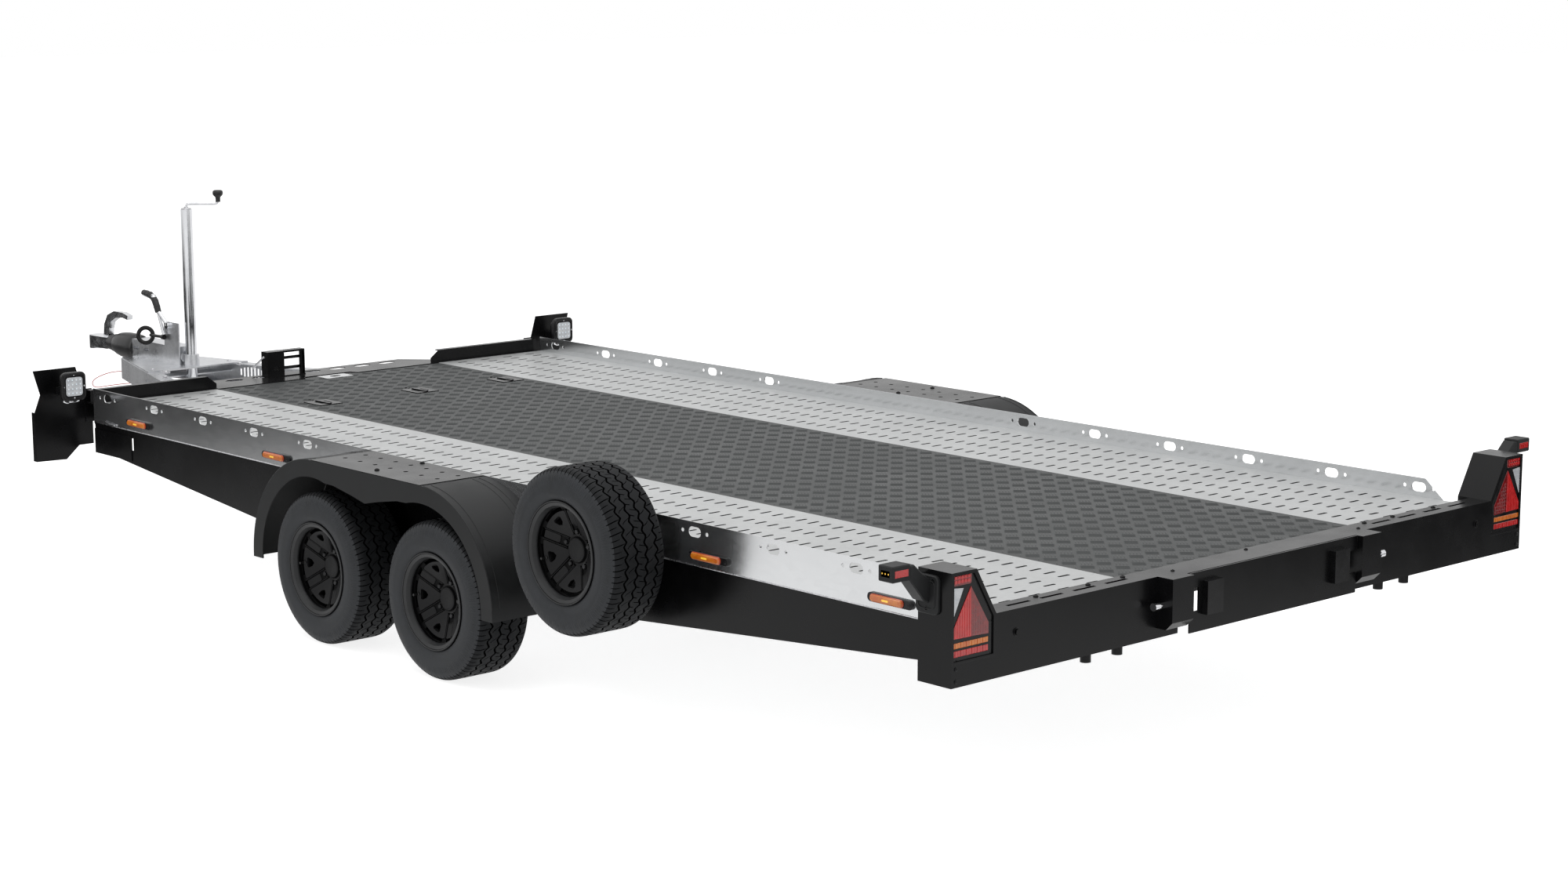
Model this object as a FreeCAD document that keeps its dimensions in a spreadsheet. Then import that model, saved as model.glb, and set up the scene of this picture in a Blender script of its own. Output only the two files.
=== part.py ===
import FreeCAD, Part
import Sketcher
import math
import os
import re

# Twin-axle car hauler trailer. Millimetres, +X right, +Y forward to the coupling,
# +Z up, the ground at z = 0. The origin lies on the ground under the middle of the
# trailer's whole length and width.

# Driving sizes: (name, value, note). Places along the trailer are taken from the
# rear end of the side rails, heights from the ground.
SIZES = [
    # Bed
    ("bedLength", 4530, "length of the side rails"),
    ("innerWidth", 2100, "clear width between the side rails"),
    ("sheetWall", 3, "folded steel sheet"),
    ("seatGap", 0.3, "gap between pieces that lie against each other"),
    ("deckTop", 546, "height of the loading surface"),
    ("railTop", 605, "height of the side rails"),
    ("railHeight", 128, "depth of the side rails"),
    ("railCorner", 62, "slanted corner at the rails' rear ends"),
    ("ledgeWidth", 40, "rail ledge under the deck"),
    ("deckSheet", 3, "deck sheets"),
    ("runwayWidth", 528, "wheel runway on each side"),
    ("holeLong", 53, "lashing hole, end to end"),
    ("holeTall", 30, "lashing hole, height"),
    ("holeDrop", 29, "lashing hole centre below the rail top"),
    ("holePitch", 333.3, "spacing of the lashing holes"),
    ("holeSide", 50, "small slots beside a lashing hole"),
    ("rearHoleFirst", 92.5, "first lashing hole from the rear end"),
    ("rearHoleCount", 6, "lashing holes behind the mudguard"),
    ("frontHoleLast", 106, "last lashing hole from the front end"),
    ("frontHoleCount", 5, "lashing holes ahead of the mudguard"),
    # Sills and cross members
    ("sillLow", 225, "lowest edge of the side sills"),
    ("sillEnd", 386, "lower edge of the sills at the rear beam"),
    ("sillFrontEnd", 363, "lower edge of the sills at the front"),
    ("sillRearBend", 1906, "rear bend of the sills' lower edge"),
    ("sillFrontBend", 2945, "front bend of the sills' lower edge"),
    ("sillFlat", 160, "length of the level front end of the sills"),
    ("sillFlange", 50, "sills' bottom flange"),
    ("doublerLong", 265, "plate on the sills' front ends"),
    ("doublerTop", 455, "top of that plate"),
    ("eyeBack", 270, "upright lashing slot in the sill behind its front end"),
    ("eyeTall", 46, "height of that slot"),
    ("eyeWide", 14, "width of that slot"),
    ("crossWeb", 3, "cross member sheet"),
    ("crossFlange", 40, "cross member flanges"),
    ("crossDepth", 120, "cross members over the ramp bay"),
    ("crossShallow", 73, "cross members over the drawbar"),
    ("rearCrossFirst", 260, "first cross member"),
    ("rearCrossPitch", 395, "spacing of the rear cross members"),
    ("rearCrossCount", 5, "cross members over the ramp bay"),
    ("midCross", 2335, "cross member between the axles"),
    ("frontCrossFirst", 2960, "first cross member over the drawbar"),
    ("frontCrossPitch", 500, "spacing of the front cross members"),
    ("frontCrossCount", 4, "cross members over the drawbar"),
    # Rear beam
    ("beamRear", 137, "rear face of the beam behind the rails"),
    ("beamFront", 62, "front edge of the beam's top strip behind the rails"),
    ("beamBeyond", 213, "beam's ends beyond the rails' inner faces"),
    ("beamBottom", 386, "lower edge of the beam"),
    ("beamTop", 557, "top of the beam"),
    ("beamSheet", 4, "beam sheet"),
    ("stripSlotFirst", 592, "first slot in the top strip from the middle"),
    ("stripSlotPitch", 128, "spacing of the slots"),
    ("stripSlotCount", 4, "slots on each side"),
    ("stripSlotLong", 86, "length of a slot"),
    ("stripSlotWide", 12, "width of a slot"),
    ("stripSlotY", 98, "slots behind the rails"),
    ("postTop", 684, "top of the lamp posts"),
    ("postFront", 18, "front face of the posts behind the rails"),
    ("postWide", 91, "width of the post at its top"),
    ("postFootWide", 164, "width of the post at the beam's top"),
    ("lampLow", 453, "lower edge of the lamp opening"),
    ("lampFrame", 9, "frame round the tail lamp"),
    ("lampSink", 4, "tail lamp face inside the post"),
    ("lampDeep", 34, "depth of the tail lamp"),
    ("lockRear", 191, "rear face of the lock housings"),
    ("lockInner", 378, "inner side of a lock housing"),
    ("lockOuter", 467, "outer side of a lock housing"),
    ("lockBottom", 414, "lower edge of the lock housings"),
    ("lockBevel", 22, "slanted lower corner of the lock housings"),
    ("latchHeight", 484, "height of the latch bolts"),
    ("latchY", 164, "latch bolts behind the rails"),
    ("latchBody", 9, "latch guide on the housing"),
    ("latchKnob", 11, "latch knob"),
    ("flapRear", 173, "rear face of the ramp flap"),
    ("flapGap", 5, "gap beside the ramp flap"),
    ("flapWindow", 36, "window at each end of the flap"),
    ("hingeIn", 16, "flap hinge ahead of the flap's rear face"),
    ("hingeHeight", 430, "height of the flap hinge"),
    ("hingePin", 12, "flap hinge pins"),
    ("pinRadius", 5, "flap hinge pin"),
    ("runClear", 0.06, "running clearance round pins and stub axles"),
    ("plateLampX", 285, "number plate lamps from the middle"),
    ("plateLampWide", 68, "number plate lamp, width"),
    ("plateLampDeep", 18, "number plate lamp, depth"),
    ("plateLampTall", 94, "number plate lamp, height"),
    ("footRadius", 15, "rubber stops under the beam"),
    ("footDrop", 30, "length of the rubber stops"),
    ("footInner", 585, "inner stop from the middle"),
    ("footOuter", 712, "outer stop from the middle"),
    # Ramps
    ("rampLength", 1900, "loading ramps"),
    ("rampWidth", 350, "width of a ramp"),
    ("rampTall", 66, "height of a ramp"),
    ("rampBottom", 449, "height of the stowed ramps"),
    ("rampRail", 30, "ramp side rail"),
    ("rampMid", 186, "middle of a stowed ramp from the middle"),
    ("rungPitch", 190, "spacing of the ramp rungs"),
    ("rungWidth", 40, "width of a rung"),
    # Marker lamps
    ("markerBeyond", 141, "marker lamps beyond the beam's ends"),
    ("markerWide", 64, "marker lamp on the arm, width"),
    ("markerDeep", 53, "marker lamp on the arm, depth"),
    ("markerLow", 668, "underside of the marker lamp"),
    ("markerTall", 42, "height of the marker lamp"),
    ("markerY", 42, "middle of the marker lamp behind the rails"),
    ("markerFootTall", 102, "bolted foot of the marker arm, height"),
    ("markerFootLong", 81, "bolted foot of the marker arm, along the trailer"),
    ("markerFootLow", 569, "underside of the marker arm's foot"),
    ("sideLampLong", 172, "side marker lamp with its base, length"),
    ("sideLampTall", 26, "side marker lamp, height"),
    ("sideLampDeep", 18, "side marker lamp, depth"),
    ("sideLampMid", 510, "height of the side marker lamps"),
    # Front
    ("frontBeamDeep", 70, "front beam, along the trailer"),
    ("frontPlateLap", 10, "top plate over the deck's front end"),
    ("frontPlateBeyond", 182, "front edge of the top plate ahead of the rails"),
    ("notchHalf", 125, "half width of the notch in the plate's rear edge"),
    ("notchDeep", 34, "depth of that notch"),
    ("plateSlotPitch", 120, "spacing of the slots in the top plate"),
    ("plateSlotCount", 7, "slots in the top plate"),
    ("plateSlotLong", 84, "length of such a slot"),
    ("plateSlotWide", 38, "width of such a slot"),
    ("plateSlotBeyond", 134, "slots in the top plate ahead of the rails"),
    ("lipInner", 507, "inner end of the front lips"),
    ("lipTall", 48, "front lips above the deck"),
    ("lipBeyond", 26, "rear face of the front lips ahead of the rails"),
    ("lipFold", 26, "folded top edge of the front lips"),
    ("deflectorAhead", 70, "rear face of the corner deflectors ahead of the rails"),
    ("deflectorBeyond", 208, "deflectors beyond the rails' inner faces"),
    ("deflectorFold", 25, "folded outer edge of the deflectors"),
    ("workLampBeyond", 100, "work lamp's middle beyond the rails' inner faces"),
    ("workLampWide", 100, "work lamp, width"),
    ("workLampTall", 106, "work lamp, height"),
    ("workLampDeep", 56, "work lamp, depth"),
    ("workLampGap", 54, "work lamp behind its deflector"),
    ("workLampMid", 626, "work lamp, middle height"),
    ("workLampCorner", 20, "rounded corners of the work lamp"),
    ("winchX", 145, "middle of the rope guide left of the middle"),
    ("winchBeyond", 92, "rear face of the rope guide ahead of the rails"),
    ("winchWide", 176, "width of the rope guide"),
    ("winchTall", 102, "height of the rope guide"),
    ("winchDeep", 44, "depth of the rope guide"),
    ("rollerRadius", 6, "rope guide rollers"),
    # Drawbar
    ("drawNoseX", 95, "outer face of a drawbar rail at its nose"),
    ("drawBeyond", 1480, "nose of the drawbar ahead of the rails"),
    ("drawTailIn", 75, "tail of a drawbar rail inside the rails' inner faces"),
    ("drawBack", 1350, "tail of the drawbar behind the rails' front ends"),
    ("drawTop", 470, "top of the drawbar rails"),
    ("drawTall", 88, "height of the drawbar rails"),
    ("drawFlange", 60, "drawbar rail flanges"),
    ("drawWall", 5, "drawbar rail sheet"),
    ("ventFirst", 470, "slots in the rail web, from the nose"),
    ("ventPitch", 19, "spacing of these slots"),
    ("ventCount", 7, "slots in the rail web"),
    ("ventWide", 9, "width of these slots"),
    ("ventTall", 46, "height of the tallest of these slots"),
    ("gussetBeyond", 370, "rear drawbar gusset ahead of the rails"),
    ("gussetBack", 370, "front drawbar gusset behind the drawbar's nose"),
    ("gussetDeep", 60, "gusset, along the trailer"),
    # Coupling
    ("couplingAxis", 508, "height of the coupling tube"),
    ("housingBack", 380, "rear end of the overrun housing behind the drawbar's nose"),
    ("housingShort", 10, "front end of the overrun housing behind the drawbar's nose"),
    ("housingHalf", 44, "half width of the overrun housing"),
    ("housingTop", 552, "top of the overrun housing"),
    ("relayLong", 60, "brake relay block under the housing, along the trailer"),
    ("relayLow", 362, "underside of the brake relay block"),
    ("slotLong", 42, "slots in the housing's sides"),
    ("slotTall", 12, "height of these slots"),
    ("bracketBack", 408, "rear end of the lever bracket behind the drawbar's nose"),
    ("bracketLong", 115, "length of the lever bracket"),
    ("leverOff", 12, "handbrake lever beside its bracket"),
    ("bracketTop", 656, "top of the lever bracket"),
    ("bellowsBeyond", 236, "front end of the bellows ahead of the drawbar's nose"),
    ("bellowsRadius", 57, "bellows at its widest"),
    ("headBeyond", 401, "front of the ball coupling ahead of the drawbar's nose"),
    ("ballBack", 46, "middle of the coupling socket behind its front"),
    ("ballRadius", 25.2, "coupling socket for a 50 mm ball"),
    ("couplingHalf", 38, "outer half width of the coupling"),
    ("tubeRadius", 25, "coupling draw tube"),
    ("tubeClear", 0.3, "gap round the draw tube and between the jack tubes"),
    # Jack
    ("jackBack", 425, "jack tube behind the drawbar's nose"),
    ("jackTop", 1138, "top of the jack's outer tube"),
    ("jackBottom", 420, "bottom of the jack's outer tube"),
    ("jackRadius", 24, "jack's outer tube"),
    ("jackWall", 2.5, "jack tube wall"),
    ("collarTop", 522, "top of the jack's clamp"),
    ("forkTop", 245, "top of the jack's fork"),
    ("jackWheelRadius", 100, "jack wheel"),
    ("jackWheelWide", 50, "width of the jack wheel"),
    ("jackTrail", 45, "jack wheel behind its swivel"),
    ("crankReach", 135, "reach of the jack crank"),
    ("crankTurn", 42, "angle of the crank behind the right side"),
    ("crankRadius", 6, "crank rod"),
    # Axles and wheels
    ("axleRear", 2044, "rear axle"),
    ("axleGap", 635, "distance between the axles"),
    ("wheelRadius", 249, "tyre tread radius"),
    ("wheelWide", 206, "tyre width"),
    ("wheelBeyond", 256, "outer side of the tyres beyond the rails' inner faces"),
    ("rimRadius", 142, "rim bead seat"),
    ("rimLip", 154, "rim flange"),
    ("dishHub", 25, "rim disc at its hub, outward of the wheel's middle"),
    ("dishRim", 70, "rim disc at its edge, outward of the wheel's middle"),
    ("discWall", 8, "thickness of the rim disc"),
    ("hubRadius", 42, "hub cap"),
    ("drumRadius", 112, "brake drum"),
    ("drumWide", 62, "width of the brake drum"),
    ("drumBack", 198, "back of the drum behind the wheel's outer side"),
    ("armLead", 150, "axle tube ahead of the wheel centre"),
    ("axleHeight", 320, "height of the axle tube"),
    ("axleTube", 90, "axle tube across its sides"),
    ("armWide", 24, "suspension arm, thickness"),
    ("stubRadius", 17, "stub axle"),
    # Mudguards
    ("guardBeyond", 247, "outer side of the mudguards beyond the rails' inner faces"),
    ("guardTop", 605, "height of the mudguards' step"),
    ("guardLead", 38.5, "middle of the mudguards ahead of the middle between the axles"),
    ("guardWithin", 17.5, "ends of the flat step short of the axles"),
    ("guardArc", 360, "outer radius of the mudguard's ends"),
    ("guardRim", 55, "width of the mudguard's side rim"),
    ("guardWall", 4, "mudguard wall"),
    ("guardDrop", 233, "height of the mudguard flaps' lower edge"),
    ("skirtEnd", 65, "depth of the step's side skirt at its ends"),
    ("skirtMid", 101, "depth of the step's side skirt in the middle"),
    ("stepSheet", 2, "step plates"),
    ("stepHole", 8, "round holes in the step plates"),
    ("stepPitch", 84, "spacing of these holes"),
    # Spare wheel
    ("spareY", 1386, "spare wheel centre"),
    ("spareHeight", 506, "height of the spare wheel's centre"),
    ("spareGap", 58, "gap between spare wheel and rail"),
    # Deck fittings
    ("fittingBack", 565, "lashing fittings behind the rails' front ends"),
    ("fittingX", 425, "outer fittings from the middle"),
    ("fittingLong", 110, "fitting, along the trailer"),
    ("fittingWide", 100, "fitting, across the trailer"),
    # Breakaway cable
    ("cableDiameter", 3.5, "breakaway cable"),
]

doc = FreeCAD.newDocument("CarHauler")
sheet = doc.addObject("Spreadsheet::Sheet", "Sizes")
for row, (name, value, note) in enumerate(SIZES, 1):
    sheet.set("A%d" % row, name)
    sheet.set("B%d" % row, str(value))
    sheet.set("C%d" % row, note)
    sheet.setAlias("B%d" % row, name)
doc.recompute()
NAMES = {name for name, value, note in SIZES}
NODES = []


def size(name):
    """Value of one named size."""
    return float(getattr(sheet, name))


# Places that follow from the sizes, written with the sizes' names
PLACES = {
    "beamHalf": "(innerWidth / 2 + beamBeyond)",
    "postInner": "(beamHalf - postWide)",
    "postFoot": "(beamHalf - postFootWide)",
    "markerTip": "(beamHalf + markerBeyond)",
    "wheelOuter": "(innerWidth / 2 + wheelBeyond)",
    "guardInner": "(innerWidth / 2 + sheetWall + seatGap)",
    "guardOuter": "(innerWidth / 2 + guardBeyond)",
    "deflectorOuter": "(innerWidth / 2 + deflectorBeyond)",
    "workLampX": "(innerWidth / 2 + workLampBeyond)",
    "drawTailX": "(innerWidth / 2 - drawTailIn)",
    "drawTailY": "(bedLength - drawBack)",
    "drawNoseY": "(bedLength + drawBeyond)",
    "couplingNose": "(drawNoseY + headBeyond)",
    "ballY": "(couplingNose - ballBack)",
    "bellowsFront": "(drawNoseY + bellowsBeyond)",
    "housingRear": "(drawNoseY - housingBack)",
    "housingFront": "(drawNoseY - housingShort)",
    "bracketRear": "(drawNoseY - bracketBack)",
    "jackY": "(drawNoseY - jackBack)",
    "gussetFirst": "(bedLength + gussetBeyond)",
    "gussetSecond": "(drawNoseY - gussetBack)",
    "sillFrontFlat": "(bedLength - sillFlat)",
    "deflectorY": "(bedLength + deflectorAhead)",
    "lipY": "(bedLength + lipBeyond)",
    "winchY": "(bedLength + winchBeyond)",
    "guardMid": "(axleRear + axleGap / 2 + guardLead)",
    "guardHalf": "(axleGap / 2 - guardWithin)",
}

# Y of the rails' rear end in the part's frame, so that the whole length is centred
BED = "(lockRear - couplingNose) / 2"
BED_OFF = "(couplingNose - lockRear) / 2"


def expr(text):
    """An expression in which plain size names refer to the sheet."""
    def named(match):
        word = match.group(0)
        if word in PLACES:
            return expr(PLACES[word])
        return "Sizes." + word if word in NAMES else word
    return re.sub(r"[A-Za-z]\w*", named, str(text))


def place(thing, x="0", y="0", z="0", turn=None):
    """Bind a thing's place to the sheet; y counts from the rails' rear end."""
    if turn is not None:
        thing.Placement = FreeCAD.Placement(FreeCAD.Vector(), turn)
    thing.setExpression("Placement.Base.x", expr(x))
    thing.setExpression("Placement.Base.y", expr("%s + (%s)" % (BED, y)))
    thing.setExpression("Placement.Base.z", expr(z))
    return thing


ALONG_X = FreeCAD.Rotation(FreeCAD.Vector(0, 1, 0), 90)
ALONG_Y = FreeCAD.Rotation(FreeCAD.Vector(1, 0, 0), -90)


def box(name, low, length):
    """Box from its lowest corner and its three lengths."""
    thing = doc.addObject("Part::Box", name)
    for prop, text in zip(("Length", "Width", "Height"), length):
        thing.setExpression(prop, expr(text))
    return place(thing, *low)


def rod(name, radius, length, base, turn=None):
    """Cylinder along Z, or along X or Y by its turn."""
    thing = doc.addObject("Part::Cylinder", name)
    thing.setExpression("Radius", expr(radius))
    thing.setExpression("Height", expr(length))
    return place(thing, *base, turn=turn)


def fuse(name, things):
    whole = doc.addObject("Part::MultiFuse", name)
    whole.Shapes = things
    return whole


def cut(name, thing, tools):
    left = doc.addObject("Part::Cut", name)
    left.Base = thing
    left.Tool = tools[0] if len(tools) == 1 else fuse(name + "Tools", tools)
    return left


def together(name, things):
    """Separate solids kept in one sub-part."""
    whole = doc.addObject("Part::Compound", name)
    whole.Links = things
    return whole


def mirrored(name, thing):
    """The same piece on the trailer's other side."""
    other = doc.addObject("Part::Mirroring", name)
    other.Source = thing
    other.Normal = FreeCAD.Vector(1, 0, 0)
    return other


def node(name, thing):
    """Name a finished sub-part."""
    thing.Label = name
    NODES.append(thing)
    return thing


def plane(body, role):
    return [f for f in body.Origin.OriginFeatures if f.Role == role][0]


def sketchOn(body, role, offset="0"):
    """Empty sketch on one of the body's origin planes."""
    sketch = body.newObject("Sketcher::SketchObject", body.Name + "Sketch")
    sketch.AttachmentSupport = [(plane(body, role), "")]
    sketch.MapMode = "FlatFace"
    sketch.setExpression("AttachmentOffset.Base.z", expr(offset))
    return sketch


def outline(sketch, points):
    """Closed outline of straight lines whose corners are bound to the sheet."""
    first = sketch.GeometryCount
    count = len(points)
    start = [FreeCAD.Vector(math.cos(2 * math.pi * i / count), math.sin(2 * math.pi * i / count), 0) * 100
             for i in range(count)]
    for i in range(count):
        sketch.addGeometry(Part.LineSegment(start[i], start[(i + 1) % count]), False)
    for i in range(count):
        sketch.addConstraint(Sketcher.Constraint("Coincident", first + i, 2, first + (i + 1) % count, 1))
    for i, (across, up) in enumerate(points):
        for kind, text in (("DistanceX", across), ("DistanceY", up)):
            spot = sketch.addConstraint(Sketcher.Constraint(kind, -1, 1, first + i, 1, 1.0))
            sketch.setExpression("Constraints[%d]" % spot, expr(text))


def padOn(body, sketch, length):
    """Pad towards the sketch's positive side."""
    pad = body.newObject("PartDesign::Pad", body.Name + "Pad")
    pad.Profile = sketch
    pad.setExpression("Length", expr(length))
    if plane(body, "XZ_Plane") in [s[0] for s in sketch.AttachmentSupport]:
        pad.Reversed = True
    return pad


def slab(name, role, points, length, at=("0", "0", "0")):
    """Body padded from a straight-sided outline."""
    body = doc.addObject("PartDesign::Body", name)
    sketch = sketchOn(body, role)
    outline(sketch, points)
    pad = padOn(body, sketch, length)
    place(body, *at)
    return body


def coded(name, shape):
    """Sub-part whose shape is made by the geometry kernel directly."""
    thing = doc.addObject("Part::Feature", name)
    thing.Shape = shape
    return thing


V = FreeCAD.Vector

# Side rails: upright sheet with a ledge under the deck and lashing holes
railLow = "railTop - railHeight"
railWeb = slab("RailWeb", "YZ_Plane", [
    ("0", railLow), ("bedLength", railLow), ("bedLength", "railTop"),
    ("railCorner + 8", "railTop"), ("0", "railTop - railCorner")], "sheetWall", ("innerWidth / 2", "0", "0"))
railLedge = box("RailLedge", ("innerWidth / 2 - ledgeWidth", "0", "deckTop - 2 * deckSheet"),
                ("ledgeWidth", "bedLength", "deckSheet"))


def lashingHole(name, along):
    """Oval hole with a small round hole on each side."""
    high = "railTop - holeDrop"
    start = "innerWidth / 2 - 5"
    across = "sheetWall + 10"
    tools = [box(name + "Mid", (start, "%s - (holeLong - holeTall) / 2" % along,
        "%s - holeTall / 2" % high),
                 (across, "holeLong - holeTall", "holeTall"))]
    for k, side in enumerate(("-", "+")):
        tools.append(rod(name + "End%d" % k, "holeTall / 2", across,
                         (start, "%s %s (holeLong - holeTall) / 2" % (along, side), high), ALONG_X))
        tools.append(rod(name + "Bolt%d" % k, "6", across, (start, "%s %s holeLong" % (along, side),
            high), ALONG_X))
    return tools


holes = []
for k in range(int(size("rearHoleCount"))):
    holes += lashingHole("RearHole%d" % k, "rearHoleFirst + %d * holePitch" % k)
for k in range(int(size("frontHoleCount"))):
    holes += lashingHole("FrontHole%d" % k, "bedLength - frontHoleLast - %d * holePitch" % k)
railRight = cut("RailRight", fuse("RailPlain", [railWeb, railLedge]), holes)
node("rail_right", railRight)
node("rail_left", mirrored("RailLeft", railRight))

# Side sills under the rails, deepest at the axles, with a plate and a slot at the front
sillSteps = [("-beamFront + seatGap", "sillEnd"), ("sillRearBend", "sillLow"), ("sillFrontBend", "sillLow"),
             ("sillFrontFlat", "sillFrontEnd"), ("bedLength", "sillFrontEnd")]
sillTop = "deckTop - 2 * deckSheet - seatGap"
sillIn = "innerWidth / 2 - sheetWall"
sillWeb = slab("SillWeb", "YZ_Plane", sillSteps + [("bedLength", sillTop),
    ("-beamFront + seatGap", sillTop)],
               "sheetWall", (sillIn, "0", "0"))
sillFoot = slab("SillFoot", "YZ_Plane", sillSteps + [(y, z + " + sheetWall") for y,
    z in reversed(sillSteps)],
                "sillFlange", ("innerWidth / 2 - sillFlange", "0", "0"))
doubler = box("SillPlate", ("innerWidth / 2", "bedLength - doublerLong", "sillFrontEnd"),
              ("sheetWall", "doublerLong", "doublerTop - sillFrontEnd"))
sillHoles = [rod("AxleHole%d" % k, "axleTube / 2 + seatGap", "sheetWall",
    (sillIn, along + " + armLead", "axleHeight"),
                 ALONG_X) for k, along in enumerate(("axleRear", "axleRear + axleGap"))]
sillHoles.append(box("SillEye", (sillIn, "bedLength - eyeBack - eyeWide / 2", "doublerTop - 6 - eyeTall"),
                     ("2 * sheetWall", "eyeWide", "eyeTall")))
sillRight = cut("SillRight", fuse("SillPlain", [sillWeb, sillFoot, doubler]), sillHoles)
node("sill_right", sillRight)
node("sill_left", mirrored("SillLeft", sillRight))

# Deck: tread plate between two runways, all starting at the rear beam
deckLow = "deckTop - deckSheet"
deckRear = "-beamFront + seatGap"
node("deck_centre", box("DeckCentre", ("runwayWidth - innerWidth / 2", deckRear, deckLow),
                        ("innerWidth - 2 * runwayWidth", "bedLength - (%s)" % deckRear, "deckSheet")))
runwayRight = box("RunwayRight", ("innerWidth / 2 - runwayWidth", deckRear, deckLow),
                  ("runwayWidth", "bedLength - (%s)" % deckRear, "deckSheet"))
node("runway_right", runwayRight)
node("runway_left", mirrored("RunwayLeft", runwayRight))
fittings = []
for k, across in enumerate(("-fittingX + 15", "30", "fittingX + 15")):
    fitting = box("FittingPlate%d" % k, ("%s - fittingWide / 2" % across,
        "bedLength - fittingBack - fittingLong / 2", "deckTop"),
                  ("fittingWide", "fittingLong", "sheetWall"))
    hole = box("FittingHole%d" % k, ("%s - fittingWide / 4" % across,
        "bedLength - fittingBack - fittingLong / 4", "deckTop"),
               ("fittingWide / 2", "fittingLong / 2", "sheetWall"))
    loop = box("FittingBar%d" % k, ("%s - 6" % across, "bedLength - fittingBack - fittingLong / 2 + 8",
        "deckTop"),
               ("12", "fittingLong - 16", "2 * sheetWall"))
    fittings.append(fuse("Fitting%d" % k, [cut("FittingOpen%d" % k, fitting, [hole]), loop]))
node("deck_fittings", together("DeckFittings", fittings))

# Cross members between the sills, open for the ramps at the rear
halfInside = "(innerWidth / 2 - sheetWall)"


def crossMember(name, along, depth, window):
    top = "deckTop - deckSheet"
    ends = "2 * %s" % halfInside
    solid = box(name + "Block", ("-" + halfInside, along, "%s - %s" % (top, depth)),
        (ends, "crossFlange", depth))
    tools = [box(name + "Channel", ("-" + halfInside, "%s + crossWeb" % along,
        "%s - %s + crossWeb" % (top, depth)),
                 (ends, "crossFlange", "%s - 2 * crossWeb" % depth))]
    for k, side in enumerate(("-innerWidth / 2", "innerWidth / 2 - ledgeWidth")):
        tools.append(box(name + "Notch%d" % k, (side, along, "%s - deckSheet" % top),
                         ("ledgeWidth", "crossFlange", "deckSheet")))
    if window:
        tools.append(box(name + "Window", ("-rampMid - rampWidth / 2 - 8", along, "rampBottom - 0.3"),
                         ("2 * rampMid + rampWidth + 16", "crossFlange", "rampTall + 8")))
    return cut(name, solid, tools)


members = [crossMember("RearCross%d" % k, "rearCrossFirst + %d * rearCrossPitch" % k, "crossDepth", True)
           for k in range(int(size("rearCrossCount")))]
members.append(crossMember("MidCross", "midCross", "crossDepth", False))
members += [crossMember("FrontCross%d" % k, "frontCrossFirst + %d * frontCrossPitch" % k, "crossShallow",
    False)
            for k in range(int(size("frontCrossCount")))]
node("cross_members", together("CrossMembers", members))

# Rear beam: folded sheets, open for the ramps, with hollow lamp posts, lock housings
# and rubber stops
def postOutline(side, inset, low):
    """Outline of a lamp post, or of the lamp in it, seen from behind."""
    return [("%d * (beamHalf - %s)" % (side, inset), "%s + %s" % (low, inset)),
            ("%d * (beamHalf - %s)" % (side, inset), "postTop - %s" % inset),
            ("%d * (postInner + %s)" % (side, inset), "postTop - %s" % inset),
            ("%d * (postFoot + 1.1 * %s)" % (side, inset), "beamTop - %s / 2" % inset),
            ("%d * (postFoot + 1.1 * %s)" % (side, inset), "%s + %s" % (low, inset))]


beamSpan = "(postFoot + beamSheet)"
beamDeep = "beamRear - beamFront"
beamBack = box("BeamBack", ("-" + beamSpan, "-beamRear", "beamBottom"),
               ("2 * " + beamSpan, "beamSheet", "beamTop - beamBottom"))
beamStrip = box("BeamStrip", ("-" + beamSpan, "-beamRear", "beamTop - beamSheet"),
                ("2 * " + beamSpan, beamDeep, "beamSheet"))
beamFoot = box("BeamFoot", ("-" + beamSpan, "-beamRear", "beamBottom"),
    ("2 * " + beamSpan, beamDeep, "beamSheet"))
beamWall = box("BeamWall", ("-" + beamSpan, "-beamFront - beamSheet", "beamBottom"),
               ("2 * " + beamSpan, "beamSheet", "beamTop - beamBottom"))
beamTools = [box("BayCut", ("-lockInner", "-beamRear - 1", "beamBottom - 1"),
                 ("2 * lockInner", beamDeep + " + 10", "beamTop - beamBottom + 2"))]
for k in range(int(size("stripSlotCount"))):
    for j, side in enumerate((-1, 1)):
        beamTools.append(box("StripSlot%d%d" % (k, j), (
            "%d * (stripSlotFirst + %d * stripSlotPitch) - stripSlotLong / 2" % (side, k),
            "-stripSlotY - stripSlotWide / 2", "beamTop - beamSheet - 1"), ("stripSlotLong", "stripSlotWide", "beamSheet + 2")))
beamOpen = cut("BeamOpen", fuse("BeamSheets", [beamBack, beamStrip, beamFoot, beamWall]), beamTools)
posts = []
lampHoles = []
locks = []
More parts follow.
